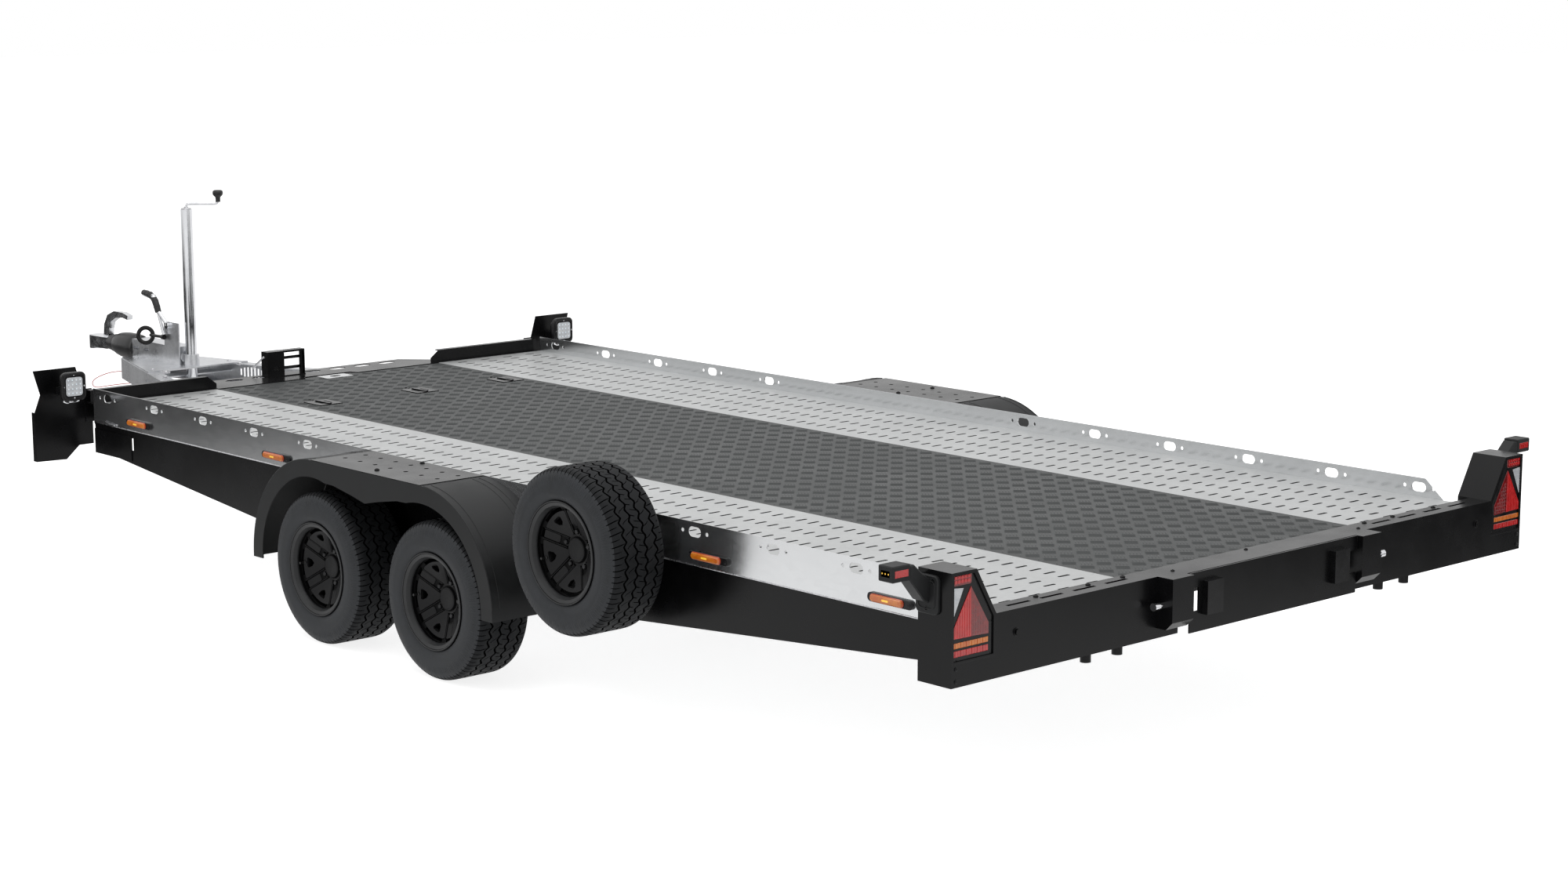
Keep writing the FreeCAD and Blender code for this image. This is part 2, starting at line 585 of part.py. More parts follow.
for k, side in enumerate((-1, 1)):
    posts.append(slab("Post%d" % k, "XZ_Plane", postOutline(side, "0", "beamBottom"),
                      "beamRear - postFront", ("0", "-beamRear", "0")))
    lampHoles.append(slab("PostHollow%d" % k, "XZ_Plane", postOutline(side, "beamSheet", "beamBottom"),
                          "beamRear - postFront", ("0", "-beamRear + beamSheet", "0")))
    lampHoles.append(slab("LampHole%d" % k, "XZ_Plane", postOutline(side, "lampFrame",
        "lampLow - lampFrame"),
                          "beamSheet + 2", ("0", "-beamRear - 1", "0")))
    low = "lockInner" if side > 0 else "-lockOuter"
    locks.append([slab("Lock%d%d" % (k, j), "YZ_Plane", [
        ("-beamRear", "lockBottom + " + wall), ("-lockRear + lockBevel + " + wall, "lockBottom + " + wall),
        ("-lockRear + " + wall, "lockBottom + lockBevel + " + wall), ("-lockRear + " + wall,
            "beamTop - " + wall),
        ("-beamRear", "beamTop - " + wall)], "lockOuter - lockInner - 2 * " + wall, (low + " + " + wall, "0", "0"))
        for j, wall in enumerate(("0", "beamSheet"))])
hollowPosts = cut("HollowPosts", fuse("Posts", posts), lampHoles)
hollowLocks = cut("HollowLocks", fuse("Locks", [pair[0] for pair in locks]), [pair[1] for pair in locks] + [
    rod("PinHoles", "pinRadius + runClear", "2 * (lockInner + beamSheet + 1)",
        ("-lockInner - beamSheet - 1", "-flapRear + hingeIn", "hingeHeight"), ALONG_X)])
stops = [rod("Stop%d%d" % (k, j), "footRadius", "footDrop",
             ("%d * %s" % (side, foot), "-(beamRear + beamFront) / 2", "beamBottom - footDrop"))
         for k, side in enumerate((-1, 1)) for j, foot in enumerate(("footInner", "footOuter"))]
stripBack = box("StripBack", ("-lockInner - 1", "-flapRear + beamSheet + flapGap", "beamTop - beamSheet"),
                ("2 * lockInner + 2", "flapRear - beamSheet - flapGap - beamFront", "beamSheet"))
stripLip = box("StripLip", ("-lockInner - 1", "-beamFront - beamSheet", "deckTop - deckSheet"),
               ("2 * lockInner + 2", "beamSheet", "beamTop - deckTop + deckSheet"))
node("rear_beam", fuse("RearBeam", [beamOpen, hollowPosts, hollowLocks, stripBack, stripLip] + stops))

# Latch bolts with round knobs on the lock housings' outer sides
latches = []
for k, side in enumerate((-1, 1)):
    near = "lockOuter" if side > 0 else "-lockOuter - 28"
    far = "lockOuter + 28" if side > 0 else "-lockOuter - 48"
    latches.append(fuse("Latch%d" % k, [
        rod("LatchBody%d" % k, "latchBody", "28", (near, "-latchY", "latchHeight"), ALONG_X),
        rod("LatchKnob%d" % k, "latchKnob", "20", (far, "-latchY", "latchHeight"), ALONG_X)]))
node("latch_bolts", together("LatchBolts", latches))

# Flap across the ramp bay, hinged along its lower edge
flapHalf = "(lockInner - flapGap)"
flapBody = box("FlapSheet", ("-" + flapHalf, "-flapRear", "beamBottom + 4"),
               ("2 * " + flapHalf, "beamSheet", "beamTop - beamBottom - 4"))
windows = [box("FlapWindow%d" % k, (low, "-flapRear", "rampBottom"),
    ("flapWindow", "beamSheet", "rampTall"))
           for k, low in enumerate(("-%s" % flapHalf, "%s - flapWindow" % flapHalf))]
lampsRear = [box("PlateLamp%d" % k, ("%d * plateLampX - plateLampWide / 2" % side,
    "-flapRear - plateLampDeep",
                                     "beamBottom + 50"),
                 ("plateLampWide", "plateLampDeep", "plateLampTall")) for k, side in enumerate((-1, 1))]
ears = []
for k, side in enumerate((-1, 1)):
    low = flapHalf + " - 16" if side > 0 else "-%s" % flapHalf
    ears.append(box("FlapEar%d" % k, (low, "-flapRear", "hingeHeight - 12"), ("16", "hingeIn + 8", "24")))
    pin = flapHalf if side > 0 else "-%s - hingePin" % flapHalf
    ears.append(rod("FlapPin%d" % k, "pinRadius", "hingePin", (pin, "-flapRear + hingeIn", "hingeHeight"),
        ALONG_X))
node("ramp_flap", fuse("RampFlap", [cut("FlapOpen", flapBody, windows)] + ears))

# Loading ramps stowed side by side in the bay
ramps = []
for k, side in enumerate((-1, 1)):
    left = "%d * rampMid - rampWidth / 2" % side
    start = "-beamRear + 10"
    parts = [box("RampRail%d%d" % (k, j), (low, start, "rampBottom"),
        ("rampRail", "rampLength", "rampTall"))
             for j, low in enumerate((left, left + " + rampWidth - rampRail"))]
    for j in range(int(size("rampLength") / size("rungPitch"))):
        parts.append(box("Rung%d_%d" % (k, j), (left, "%s + 20 + %d * rungPitch" % (start, j),
            "rampBottom + rampTall / 2"),
                         ("rampWidth", "rungWidth", "rampTall / 2 - 4")))
    ramps.append(fuse("Ramp%d" % k, parts))
node("ramps", together("Ramps", ramps))

# Front beam with its slotted top plate and the lips ahead of the runways
frontBeam = box("FrontBeam", ("-innerWidth / 2", "bedLength", "drawTop"),
                ("innerWidth", "frontBeamDeep", "deckTop - drawTop"))
frontHollow = box("FrontHollow", ("-innerWidth / 2", "bedLength + beamSheet", "drawTop"),
                  ("innerWidth", "frontBeamDeep - 2 * beamSheet", "deckTop - drawTop - beamSheet"))
plateHalf = "(innerWidth / 2 - runwayWidth - 2)"
plateFrontY = "bedLength + frontPlateBeyond"
topPlate = slab("TopPlate", "XY_Plane", [
    ("-" + plateHalf, "bedLength - frontPlateLap"), ("-notchHalf", "bedLength - frontPlateLap"),
    ("-notchHalf + 20", "bedLength - frontPlateLap + notchDeep"), ("notchHalf - 20",
        "bedLength - frontPlateLap + notchDeep"),
    ("notchHalf", "bedLength - frontPlateLap"), (plateHalf, "bedLength - frontPlateLap"),
    (plateHalf, "bedLength"), (plateHalf + " + 40", "bedLength + frontBeamDeep"),
    (plateHalf + " - 70", plateFrontY), ("-%s + 70" % plateHalf, plateFrontY),
    ("-%s - 40" % plateHalf, "bedLength + frontBeamDeep"), ("-" + plateHalf, "bedLength")],
    "sheetWall", ("0", "0", "deckTop"))
plateSlots = []
for k in range(int(size("plateSlotCount"))):
    mid = "(%d * plateSlotPitch)" % (k - int(size("plateSlotCount")) // 2)
    along = "(bedLength + plateSlotBeyond)"
    plateSlots.append(slab("PlateSlot%d" % k, "XY_Plane", [
        ("%s - plateSlotLong / 2" % mid, along), ("%s - plateSlotLong / 4" % mid,
            along + " - plateSlotWide / 2"),
        ("%s + plateSlotLong / 4" % mid, along + " - plateSlotWide / 2"), ("%s + plateSlotLong / 2" % mid,
            along),
        ("%s + plateSlotLong / 4" % mid, along + " + plateSlotWide / 2"),
        ("%s - plateSlotLong / 4" % mid, along + " + plateSlotWide / 2")],
        "sheetWall + 2", ("0", "0", "deckTop - 1")))
lips = []
for k, side in enumerate((-1, 1)):
    lips.append(slab("Lip%d" % k, "XZ_Plane", [
        ("%d * lipInner" % side, "deckTop"), ("%d * lipInner" % side, "deckTop + lipTall / 2 - 6"),
        ("%d * (lipInner + 40)" % side, "deckTop + lipTall"), ("%d * innerWidth / 2" % side,
            "deckTop + lipTall"),
        ("%d * innerWidth / 2" % side, "deckTop")], "beamSheet", ("0", "lipY", "0")))
    low = "lipInner + 40" if side > 0 else "-innerWidth / 2"
    lips.append(box("LipFold%d" % k, (low, "lipY", "deckTop + lipTall - beamSheet"),
                    ("innerWidth / 2 - lipInner - 40", "lipFold", "beamSheet")))
node("front_beam", fuse("FrontWhole", [cut("FrontBeamOpen", frontBeam, [frontHollow]),
                                       cut("TopPlateOpen", topPlate, plateSlots)] + lips))

# Corner deflectors ahead of the rails, their outer edge folded forward
deflectorSheet = slab("DeflectorSheet", "XZ_Plane", [
    ("innerWidth / 2 - 30", "sillFrontEnd + 22"), ("innerWidth / 2 + 30", "sillFrontEnd + 22"),
    ("innerWidth / 2 + 85", "sillFrontEnd - 26"), ("deflectorOuter", "sillFrontEnd - 22"),
    ("deflectorOuter", "railTop - 80"), ("deflectorOuter - 26", "railTop - 15"),
    ("deflectorOuter", "railTop + 77"), ("innerWidth / 2 + 34", "railTop + 77"),
    ("innerWidth / 2 + 8", "railTop - 10"), ("innerWidth / 2 - 30", "railTop - 10")],
    "beamSheet", ("0", "deflectorY", "0"))
deflectorEdge = box("DeflectorEdge", ("deflectorOuter - beamSheet", "deflectorY", "sillFrontEnd - 22"),
                    ("beamSheet", "deflectorFold", "railTop - sillFrontEnd - 58"))
deflector = fuse("DeflectorRight", [deflectorSheet, deflectorEdge])
node("deflector_right", deflector)
node("deflector_left", mirrored("DeflectorLeft", deflector))

# Work lamps on the deflectors, facing the rear
lampCorner = [("-", "-"), ("+", "-"), ("+", "+"), ("-", "+")]
workOutline = []
for k, (x, z) in enumerate(lampCorner):
    inX = ("workLampX %s (workLampWide / 2 - workLampCorner)" % x, "workLampMid %s workLampTall / 2" % z)
    inZ = ("workLampX %s workLampWide / 2" % x, "workLampMid %s (workLampTall / 2 - workLampCorner)" % z)
    workOutline += [inZ, inX] if k % 2 == 0 else [inX, inZ]
workLamp = fuse("WorkLampRight", [
    slab("WorkLampCase", "XZ_Plane", workOutline, "workLampDeep",
        ("0", "deflectorY - workLampGap - workLampDeep", "0")),
    box("WorkLampFoot", ("workLampX - 20", "deflectorY - workLampGap", "workLampMid - 40"),
        ("40", "workLampGap", "30"))])
node("work_lamps", together("WorkLamps", [workLamp, mirrored("WorkLampLeft", workLamp)]))

# Rope guide on the front top plate: a closed block and a frame with rollers
guideLeft = "-winchX - winchWide / 2"
guideFoot = "deckTop + sheetWall"
guideFrame = [
    box("GuideFoot", (guideLeft, "winchY", guideFoot), ("winchWide", "winchDeep", "4")),
    box("GuideBlock", (guideLeft, "winchY", guideFoot), ("0.42 * winchWide", "winchDeep", "winchTall")),
    box("GuideHead", (guideLeft, "winchY + 4", "%s + winchTall - 8" % guideFoot),
        ("winchWide", "winchDeep - 8", "8")),
    box("GuideSide", (guideLeft + " + winchWide - 4", "winchY + 4", guideFoot),
        ("4", "winchDeep - 8", "winchTall"))]
guideWindow = box("GuideWindow", (guideLeft + " + 30", "winchY", guideFoot + " + 26"),
    ("26", "winchDeep", "14"))
guideRollers = [rod("GuideUpright%d" % k, "rollerRadius", "winchTall - 4",
    ("-winchX + %s" % across, "winchY + 14", guideFoot))
                for k, across in enumerate(("-0.08 * winchWide + 6", "winchWide / 2 - 10"))]
guideRollers += [rod("GuideLevel%d" % k, "rollerRadius", "0.58 * winchWide",
                     ("-winchX - 0.08 * winchWide", "winchY + 30", guideFoot + up), ALONG_X)
                 for k, up in enumerate((" + 30", " + 70"))]
node("winch_guide", fuse("WinchGuide", [cut("GuideSheet", fuse("GuideWhole", guideFrame),
    [guideWindow])] + guideRollers))

# Drawbar: two channels in a V from the sills to the coupling
SLOPE = "(drawTailX - drawNoseX) / (drawNoseY - drawTailY)"
RAIL_LENGTH = "sqrt((drawTailX - drawNoseX)^2 + (drawNoseY - drawTailY)^2)"


def channel(name, low, length):
    """Box in the slanted frame of a drawbar rail, from its nose backwards."""
    thing = doc.addObject("Part::Box", name)
    for prop, text in zip(("Length", "Width", "Height"), length):
        thing.setExpression(prop, expr(text))
    thing.setExpression("Placement.Rotation.Angle", expr("atan(%s)" % SLOPE))
    turn = "atan(%s)" % SLOPE
    x, y = low[0], "(%s - %s)" % (low[1], RAIL_LENGTH)
    place(thing, "drawNoseX + (%s) * cos(%s) - %s * sin(%s)" % (x, turn, y, turn),
          "drawNoseY + (%s) * sin(%s) + %s * cos(%s)" % (x, turn, y, turn), low[2])
    return thing


drawOuter = channel("DrawOuter", ("-drawFlange", "0", "drawTop - drawTall"),
    ("drawFlange", RAIL_LENGTH, "drawTall"))
drawInner = channel("DrawInner", ("-drawFlange", "0", "drawTop - drawTall + drawWall"),
                    ("drawFlange - drawWall", RAIL_LENGTH, "drawTall - 2 * drawWall"))
vents = []
for k in range(int(size("ventCount"))):
    part = (k - (size("ventCount") - 1) / 2) / (size("ventCount") / 2 + 0.3)
    tall = "(ventTall * %.4f)" % math.sqrt(1 - part * part)
    vents.append(channel("Vent%d" % k, ("-drawWall - 1", "%s - ventFirst - %d * ventPitch" % (RAIL_LENGTH,
        k),
                                        "drawTop - drawTall / 2 - %s / 2" % tall), ("drawWall + 2", "ventWide", tall)))
drawRight = cut("DrawRight", drawOuter, [drawInner] + vents)
node("drawbar_right", drawRight)
node("drawbar_left", mirrored("DrawLeft", drawRight))


def acrossDraw(name, rear, front, low, tall, inset):
    """Plate between the drawbar rails, its ends along them."""
    def reach(along):
        return "(drawNoseX + (drawNoseY - (%s)) * %s - (%s))" % (along, SLOPE, inset)
    return slab(name, "XY_Plane", [("-" + reach(rear), rear), (reach(rear), rear), (reach(front), front),
                                   ("-" + reach(front), front)], tall, ("0", "0", low))


gussets = [acrossDraw("Gusset0", "gussetFirst", "gussetFirst + gussetDeep", "drawTop - drawTall / 2", "6",
    "drawWall * 1.06"),
           acrossDraw("Gusset1", "gussetSecond - 25", "gussetSecond + gussetDeep",
               "drawTop - drawTall / 2", "6", "drawWall * 1.06"),
           acrossDraw("NosePlate", "drawNoseY - 14", "drawNoseY - 8", "drawTop - drawTall + drawWall",
               "drawTall - 2 * drawWall", "drawWall * 1.06")]
node("drawbar_gussets", together("Gussets", gussets))

# Overrun housing on a plate across the drawbar's nose, with the jack's clamp, the
# handbrake's bracket and the brake relay block
mountPlate = acrossDraw("MountPlate", "jackY - 55", "housingFront", "drawTop", "6", "2")
housing = box("Housing", ("-housingHalf", "housingRear", "drawTop"),
              ("2 * housingHalf", "housingFront - housingRear", "housingTop - drawTop"))
bracket = box("Bracket", ("-housingHalf - 6", "bracketRear", "drawTop"),
    ("6", "bracketLong", "bracketTop - drawTop"))
relay = box("Relay", ("-45", "housingFront - 150 - relayLong", "relayLow"),
    ("60", "relayLong", "drawTop - relayLow"))
collar = rod("Collar", "jackRadius + 9", "collarTop - drawTop", ("0", "jackY", "drawTop"))
housingTools = [rod("TubeHole", "tubeRadius + tubeClear", "housingFront - housingRear",
                    ("0", "housingRear", "couplingAxis"), ALONG_Y),
                rod("JackHole", "jackRadius + tubeClear", "300", ("0", "jackY", "drawTop - 50"))]
for k, back in enumerate((33, 118)):
    housingTools.append(box("HousingSlot%d" % k, ("-housingHalf", "housingFront - %d - slotLong / 2" % back,
                                                  "couplingAxis + 7 - slotTall / 2"), ("2 * housingHalf", "slotLong", "slotTall")))
node("overrun_housing", cut("OverrunHousing", fuse("OverrunWhole", [mountPlate, housing, bracket, relay,
    collar]),
                            housingTools))

# Bellows over the draw tube
bellowsLength = "(bellowsFront - housingFront)"
inside = "(tubeRadius + tubeClear)"
bellowsBody = doc.addObject("PartDesign::Body", "Bellows")
bellowsSketch = sketchOn(bellowsBody, "XY_Plane")
outline(bellowsSketch, [
    (inside, "seatGap"), ("bellowsRadius - 16", "seatGap"), ("bellowsRadius", "0.18 * " + bellowsLength),
    ("bellowsRadius", "0.36 * " + bellowsLength), ("bellowsRadius - 9", "0.46 * " + bellowsLength),
    ("bellowsRadius - 1", "0.56 * " + bellowsLength), ("bellowsRadius - 5", "0.78 * " + bellowsLength),
    ("bellowsRadius - 21", bellowsLength + " - seatGap"), (inside, bellowsLength + " - seatGap")])
bellowsTurn = bellowsBody.newObject("PartDesign::Revolution", "BellowsTurn")
bellowsTurn.Profile = bellowsSketch
bellowsTurn.ReferenceAxis = (bellowsSketch, ["V_Axis"])
bellowsTurn.Angle = 360
place(bellowsBody, "0", "housingFront", "couplingAxis")
node("bellows", bellowsBody)

# Ball coupling with its handle and draw tube
headLow = "couplingAxis - 36"
head = [rod("DrawTube", "tubeRadius", "bellowsFront - housingRear - 30",
    ("0", "housingRear + 30", "couplingAxis"), ALONG_Y),
        rod("Socket", "couplingHalf", "58", ("0", "couplingNose - couplingHalf", headLow)),
        slab("Neck", "XY_Plane", [("-29", "bellowsFront"), ("29", "bellowsFront"),
            ("couplingHalf", "ballY - 24"),
                                  ("couplingHalf", "couplingNose - couplingHalf"), ("-couplingHalf",
                                      "couplingNose - couplingHalf"),
                                  ("-couplingHalf", "ballY - 24")], "50", ("0", "0", headLow + " + 8")),
        slab("Handle", "YZ_Plane", [
            ("ballY - 65", "couplingAxis + 18"), ("ballY - 73", "couplingAxis + 77"), ("ballY - 103",
                "couplingAxis + 120"),
            ("ballY - 160", "couplingAxis + 142"), ("ballY - 235", "couplingAxis + 142"), ("ballY - 280",
                "couplingAxis + 132"),
            ("ballY - 275", "couplingAxis + 114"), ("ballY - 235", "couplingAxis + 120"), ("ballY - 175",
                "couplingAxis + 114"),
            ("ballY - 130", "couplingAxis + 92"), ("ballY - 115", "couplingAxis + 62"), ("ballY - 110",
                "couplingAxis + 18")],
            "26", ("-13", "0", "0"))]
ball = doc.addObject("Part::Sphere", "BallSpace")
ball.setExpression("Radius", expr("ballRadius"))
place(ball, "0", "ballY", headLow + " + 28")
ballMouth = rod("BallMouth", "ballRadius", "40", ("0", "ballY", headLow + " - 12"))
node("coupling_head", cut("CouplingHead", fuse("CouplingWhole", head), [ball, ballMouth]))


def bar(points, radius):
    """Round bar through a few points."""
    parts = []
    for a, b in zip(points, points[1:]):
        parts.append(Part.makeCylinder(radius, (b - a).Length, a, b - a))
        parts.append(Part.makeSphere(radius, b))
    return parts[0].multiFuse(parts[1:]).removeSplitter()


# Handbrake lever on its bracket and the plug holder ring below it
noseY = size("bedLength") + size("drawBeyond")
axisZ = size("couplingAxis")
sideX = -size("housingHalf") - 6
leverX = sideX - size("leverOff")
lever = bar([V(leverX, noseY - 330, axisZ + 132), V(leverX, noseY - 330, axisZ + 146),
    V(leverX, noseY - 252, axisZ + 204)], 8)
pivot = Part.makeCylinder(13, size("leverOff"), V(leverX, noseY - 330, axisZ + 132), V(1, 0, 0))
grip = bar([V(leverX, noseY - 262, axisZ + 205), V(leverX, noseY - 236, axisZ + 247),
    V(leverX, noseY - 160, axisZ + 259)], 13)
handbrake = coded("Handbrake", lever.multiFuse([pivot, grip]).removeSplitter())
place(handbrake)
node("handbrake_lever", handbrake)
ringY, ringZ = noseY - 168, axisZ + 74
ring = Part.makeCylinder(35, 22, V(sideX - 22, ringY, ringZ), V(1, 0, 0))
arm = Part.makeBox(8, 150, 18, V(sideX - 8, noseY - 315, ringZ + 10))
opening = Part.makeCylinder(28, 40, V(sideX - 30, ringY, ringZ), V(1, 0, 0))
holder = coded("PlugHolder", ring.fuse(arm).cut(opening))
place(holder)
node("plug_holder", holder)

# Breakaway cable: straight runs and round bends from the drawbar's nose and back to
# the brake relay block
cableX = -30
cablePoints = [V(cableX, noseY - 7.5, 408), V(cableX, noseY + 150, 392), V(cableX, noseY + 280, 362),
    V(cableX, noseY + 384, 322),
               V(cableX, noseY + 366, 290), V(cableX, noseY + 230, 318), V(cableX, noseY + 30,
                   352), V(cableX, noseY - 159.5, 378)]


def cord(points, radius):
    """Round cord along straight runs with a round bend at every corner."""
    edges = []
    start = points[0]
    total = 0
    for a, b, c in zip(points, points[1:], points[2:]):
        before, after = (b - a), (c - b)
        half = before.getAngle(after) / 2
        shorter = min(before.Length, after.Length)
        bend = 0.45 * shorter / math.tan(half)
        back = bend * math.tan(half)
        enter = b - before * (back / before.Length)
        leave = b + after * (back / after.Length)
        inward = (after * (1 / after.Length) - before * (1 / before.Length))
        centre = b + inward * (bend / math.cos(half) / inward.Length)
        middle = centre + (b - centre) * (bend / (b - centre).Length)
        edges += [Part.LineSegment(start, enter).toShape(), Part.Arc(enter, middle, leave).toShape()]
        total += (enter - start).Length + bend * 2 * half
        print("cable bend radius %.1f mm" % bend)
        start = leave
    edges.append(Part.LineSegment(start, points[-1]).toShape())
    total += (points[-1] - start).Length
    print("cable length %.1f mm" % total)
    path = Part.Wire(edges)
    ring = Part.Wire(Part.makeCircle(radius, points[0], points[1] - points[0]))
    return path.makePipeShell([ring], True, True)


cable = coded("BreakawayCable", cord(cablePoints, size("cableDiameter") / 2))
place(cable)
node("breakaway_cable", cable)

# Jack: outer tube in the clamp, crank, inner tube, swivel fork and wheel
jackTube = cut("JackTube", rod("JackOuter", "jackRadius", "jackTop - jackBottom",
    ("0", "jackY", "jackBottom")),
               [rod("JackBore", "jackRadius - jackWall", "jackTop - jackBottom - 6",
                   ("0", "jackY", "jackBottom"))])
node("jack_tube", jackTube)
turn = math.radians(size("crankTurn"))
top = size("jackTop")
reach = size("crankReach")
jackAt = noseY - size("jackBack")
elbow = V(reach * math.cos(turn), jackAt - reach * math.sin(turn), top + 24)
crank = bar([V(0, jackAt, top), V(0, jackAt, top + 24), elbow, elbow + V(0, 0, 14)], size("crankRadius"))
knob = Part.makeCylinder(13, 50, elbow + V(0, 0, 8))
jackCrank = coded("JackCrank", crank.fuse(knob).cut(Part.makeBox(60, 60, 30,
    V(-30, jackAt - 30, top - 30))))
place(jackCrank)
node("jack_crank", jackCrank)
innerRadius = "(jackRadius - jackWall - tubeClear)"
node("jack_leg", cut("JackLeg", rod("JackInner", innerRadius, "jackTop - 200 - forkTop",
    ("0", "jackY", "forkTop + 0.3")),
                     [rod("JackLegBore", innerRadius + " - jackWall", "jackTop - 200 - forkTop - 30",
                         ("0", "jackY", "forkTop + 30")),
                      rod("SwivelBore", "10.06", "40", ("0", "jackY", "forkTop"))]))
forkParts = [box("ForkCrown", ("-jackWheelWide / 2 - 14", "jackY - 30", "forkTop - 8"),
    ("jackWheelWide + 28", "60", "8")),
             rod("SwivelPin", "10", "28", ("0", "jackY", "forkTop"))]
for k, low in enumerate(("-jackWheelWide / 2 - 14", "jackWheelWide / 2 + 8")):
    forkParts.append(slab("ForkArm%d" % k, "YZ_Plane", [
        ("jackY - 30", "forkTop"), ("jackY + 30", "forkTop"), ("jackY - jackTrail + 16",
            "jackWheelRadius - 14"),
        ("jackY - jackTrail - 16", "jackWheelRadius - 14")], "6", (low, "0", "0")))
forkParts.append(rod("JackAxle", "6", "jackWheelWide + 28", ("-jackWheelWide / 2 - 14",
    "jackY - jackTrail", "jackWheelRadius"), ALONG_X))
node("jack_fork", fuse("JackFork", forkParts))
node("jack_wheel", cut("JackWheel", rod("JackTyre", "jackWheelRadius", "jackWheelWide",
                                        ("-jackWheelWide / 2", "jackY - jackTrail",
                                            "jackWheelRadius"), ALONG_X),
                       [rod("JackWheelBore", "6.06", "jackWheelWide",
                            ("-jackWheelWide / 2", "jackY - jackTrail", "jackWheelRadius"), ALONG_X)]))


def turned(name, points):
    """Body turned about the X axis from a straight-sided outline."""
    body = doc.addObject("PartDesign::Body", name)
    sketch = sketchOn(body, "XY_Plane")
    outline(sketch, points)
    turn = body.newObject("PartDesign::Revolution", name + "Turn")
    turn.Profile = sketch
    turn.ReferenceAxis = (sketch, ["H_Axis"])
    turn.Angle = 360
    return body


# One wheel at the origin, its outer side towards +X, copied to every place
tyreSide = [
    ("wheelWide / 2 - 9.3", "rimRadius + 0.3"), ("wheelWide / 2 - 9.3", "rimLip + 0.3"),
    ("wheelWide / 2 - 3", "rimLip + 0.3"), ("wheelWide / 2", "rimLip + 22"), ("wheelWide / 2",
        "wheelRadius - 40"),
    ("wheelWide / 2 - 7", "wheelRadius - 19"), ("wheelWide / 2 - 20", "wheelRadius - 4"),
    ("wheelWide / 2 - 34", "wheelRadius")]
tyre = turned("Tyre", tyreSide + [("-(%s)" % x, z) for x, z in reversed(tyreSide)])
barrel = turned("RimBarrel", [
    ("-wheelWide / 2 + 3", "rimLip - 10"), ("-wheelWide / 2 + 3", "rimLip"), ("-wheelWide / 2 + 9",
        "rimLip"),
    ("-wheelWide / 2 + 9", "rimRadius"), ("wheelWide / 2 - 9", "rimRadius"), ("wheelWide / 2 - 9",
        "rimLip"),
    ("wheelWide / 2 - 3", "rimLip"), ("wheelWide / 2 - 3", "rimLip - 6"),
    ("wheelWide / 2 - 7", "rimRadius - 3"), ("wheelWide / 2 - 23", "rimRadius - 8"),
    ("-wheelWide / 2 + 14", "rimRadius - 8")])
dish = turned("RimDish", [
    ("dishHub - discWall", "hubRadius - 12"), ("dishHub", "hubRadius - 12"), ("dishHub", "hubRadius"),
    ("dishRim", "rimRadius - 4"), ("dishRim - discWall", "rimRadius - 4"), ("dishHub - discWall",
        "hubRadius")])
cap = rod("HubCap", "hubRadius - 2", "discWall + 8", ("dishHub - discWall + 1", BED_OFF, "0"), ALONG_X)

# Openings of the rim, as corners (radius, angle): in each web, at its outer end, and between two webs
rimWindows = [
    (0, [(108, -0.15), (108, 0.15), (92, 0.11), (85, 0), (92, -0.11)]),
    (0, [(122, -0.34), (133, -0.34), (134, 0), (133, 0.34), (122, 0.34), (121, 0)]),
    (math.pi / 5, [(124, -0.12), (133, -0.12), (133, 0.12), (124, 0.12)])]
windows = []
for k in range(5):
    for offset, corners in rimWindows:
        angle = 2 * math.pi * k / 5 + offset
        ring = [V(-100, radius * math.cos(angle + turn), radius * math.sin(angle + turn)) for radius,
            turn in corners]
        windows.append(Part.Face(Part.makePolygon(ring + ring[:1])).extrude(V(300, 0, 0)))
windowTool = coded("RimWindows", Part.makeCompound(windows))
rim = fuse("Rim", [barrel, cut("SpokeDish", dish, [windowTool]), cap])
hubDrum = cut("HubDrum", fuse("HubParts", [
    rod("Drum", "drumRadius", "drumWide", ("wheelWide / 2 - drumBack", BED_OFF, "0"), ALONG_X),
    rod("HubBoss", "hubRadius - 6", "drumBack - wheelWide / 2 + dishHub - discWall / 2",
        ("wheelWide / 2 - drumBack", BED_OFF, "0"), ALONG_X)]),
    [rod("HubBore", "stubRadius + runClear", "100", ("wheelWide / 2 - drumBack", BED_OFF, "0"), ALONG_X)])
roadRim = fuse("RoadRim", [rim, hubDrum])


def copyOf(name, thing, x, y, z, turn=None):
    other = doc.addObject("Part::Compound", name)
    other.Links = [thing]
    return place(other, x, y, z, turn)


wheelMid = "wheelOuter - wheelWide / 2"
for end, along in (("rear", "axleRear"), ("front", "axleRear + axleGap")):
    for kind, master in (("tyre", tyre), ("rim", roadRim)):
        right = copyOf(kind + end + "Right", master, wheelMid, along, "wheelRadius")
        node("%s_%s_right" % (kind, end), right)
        node("%s_%s_left" % (kind, end), mirrored(kind + end + "Left", right))

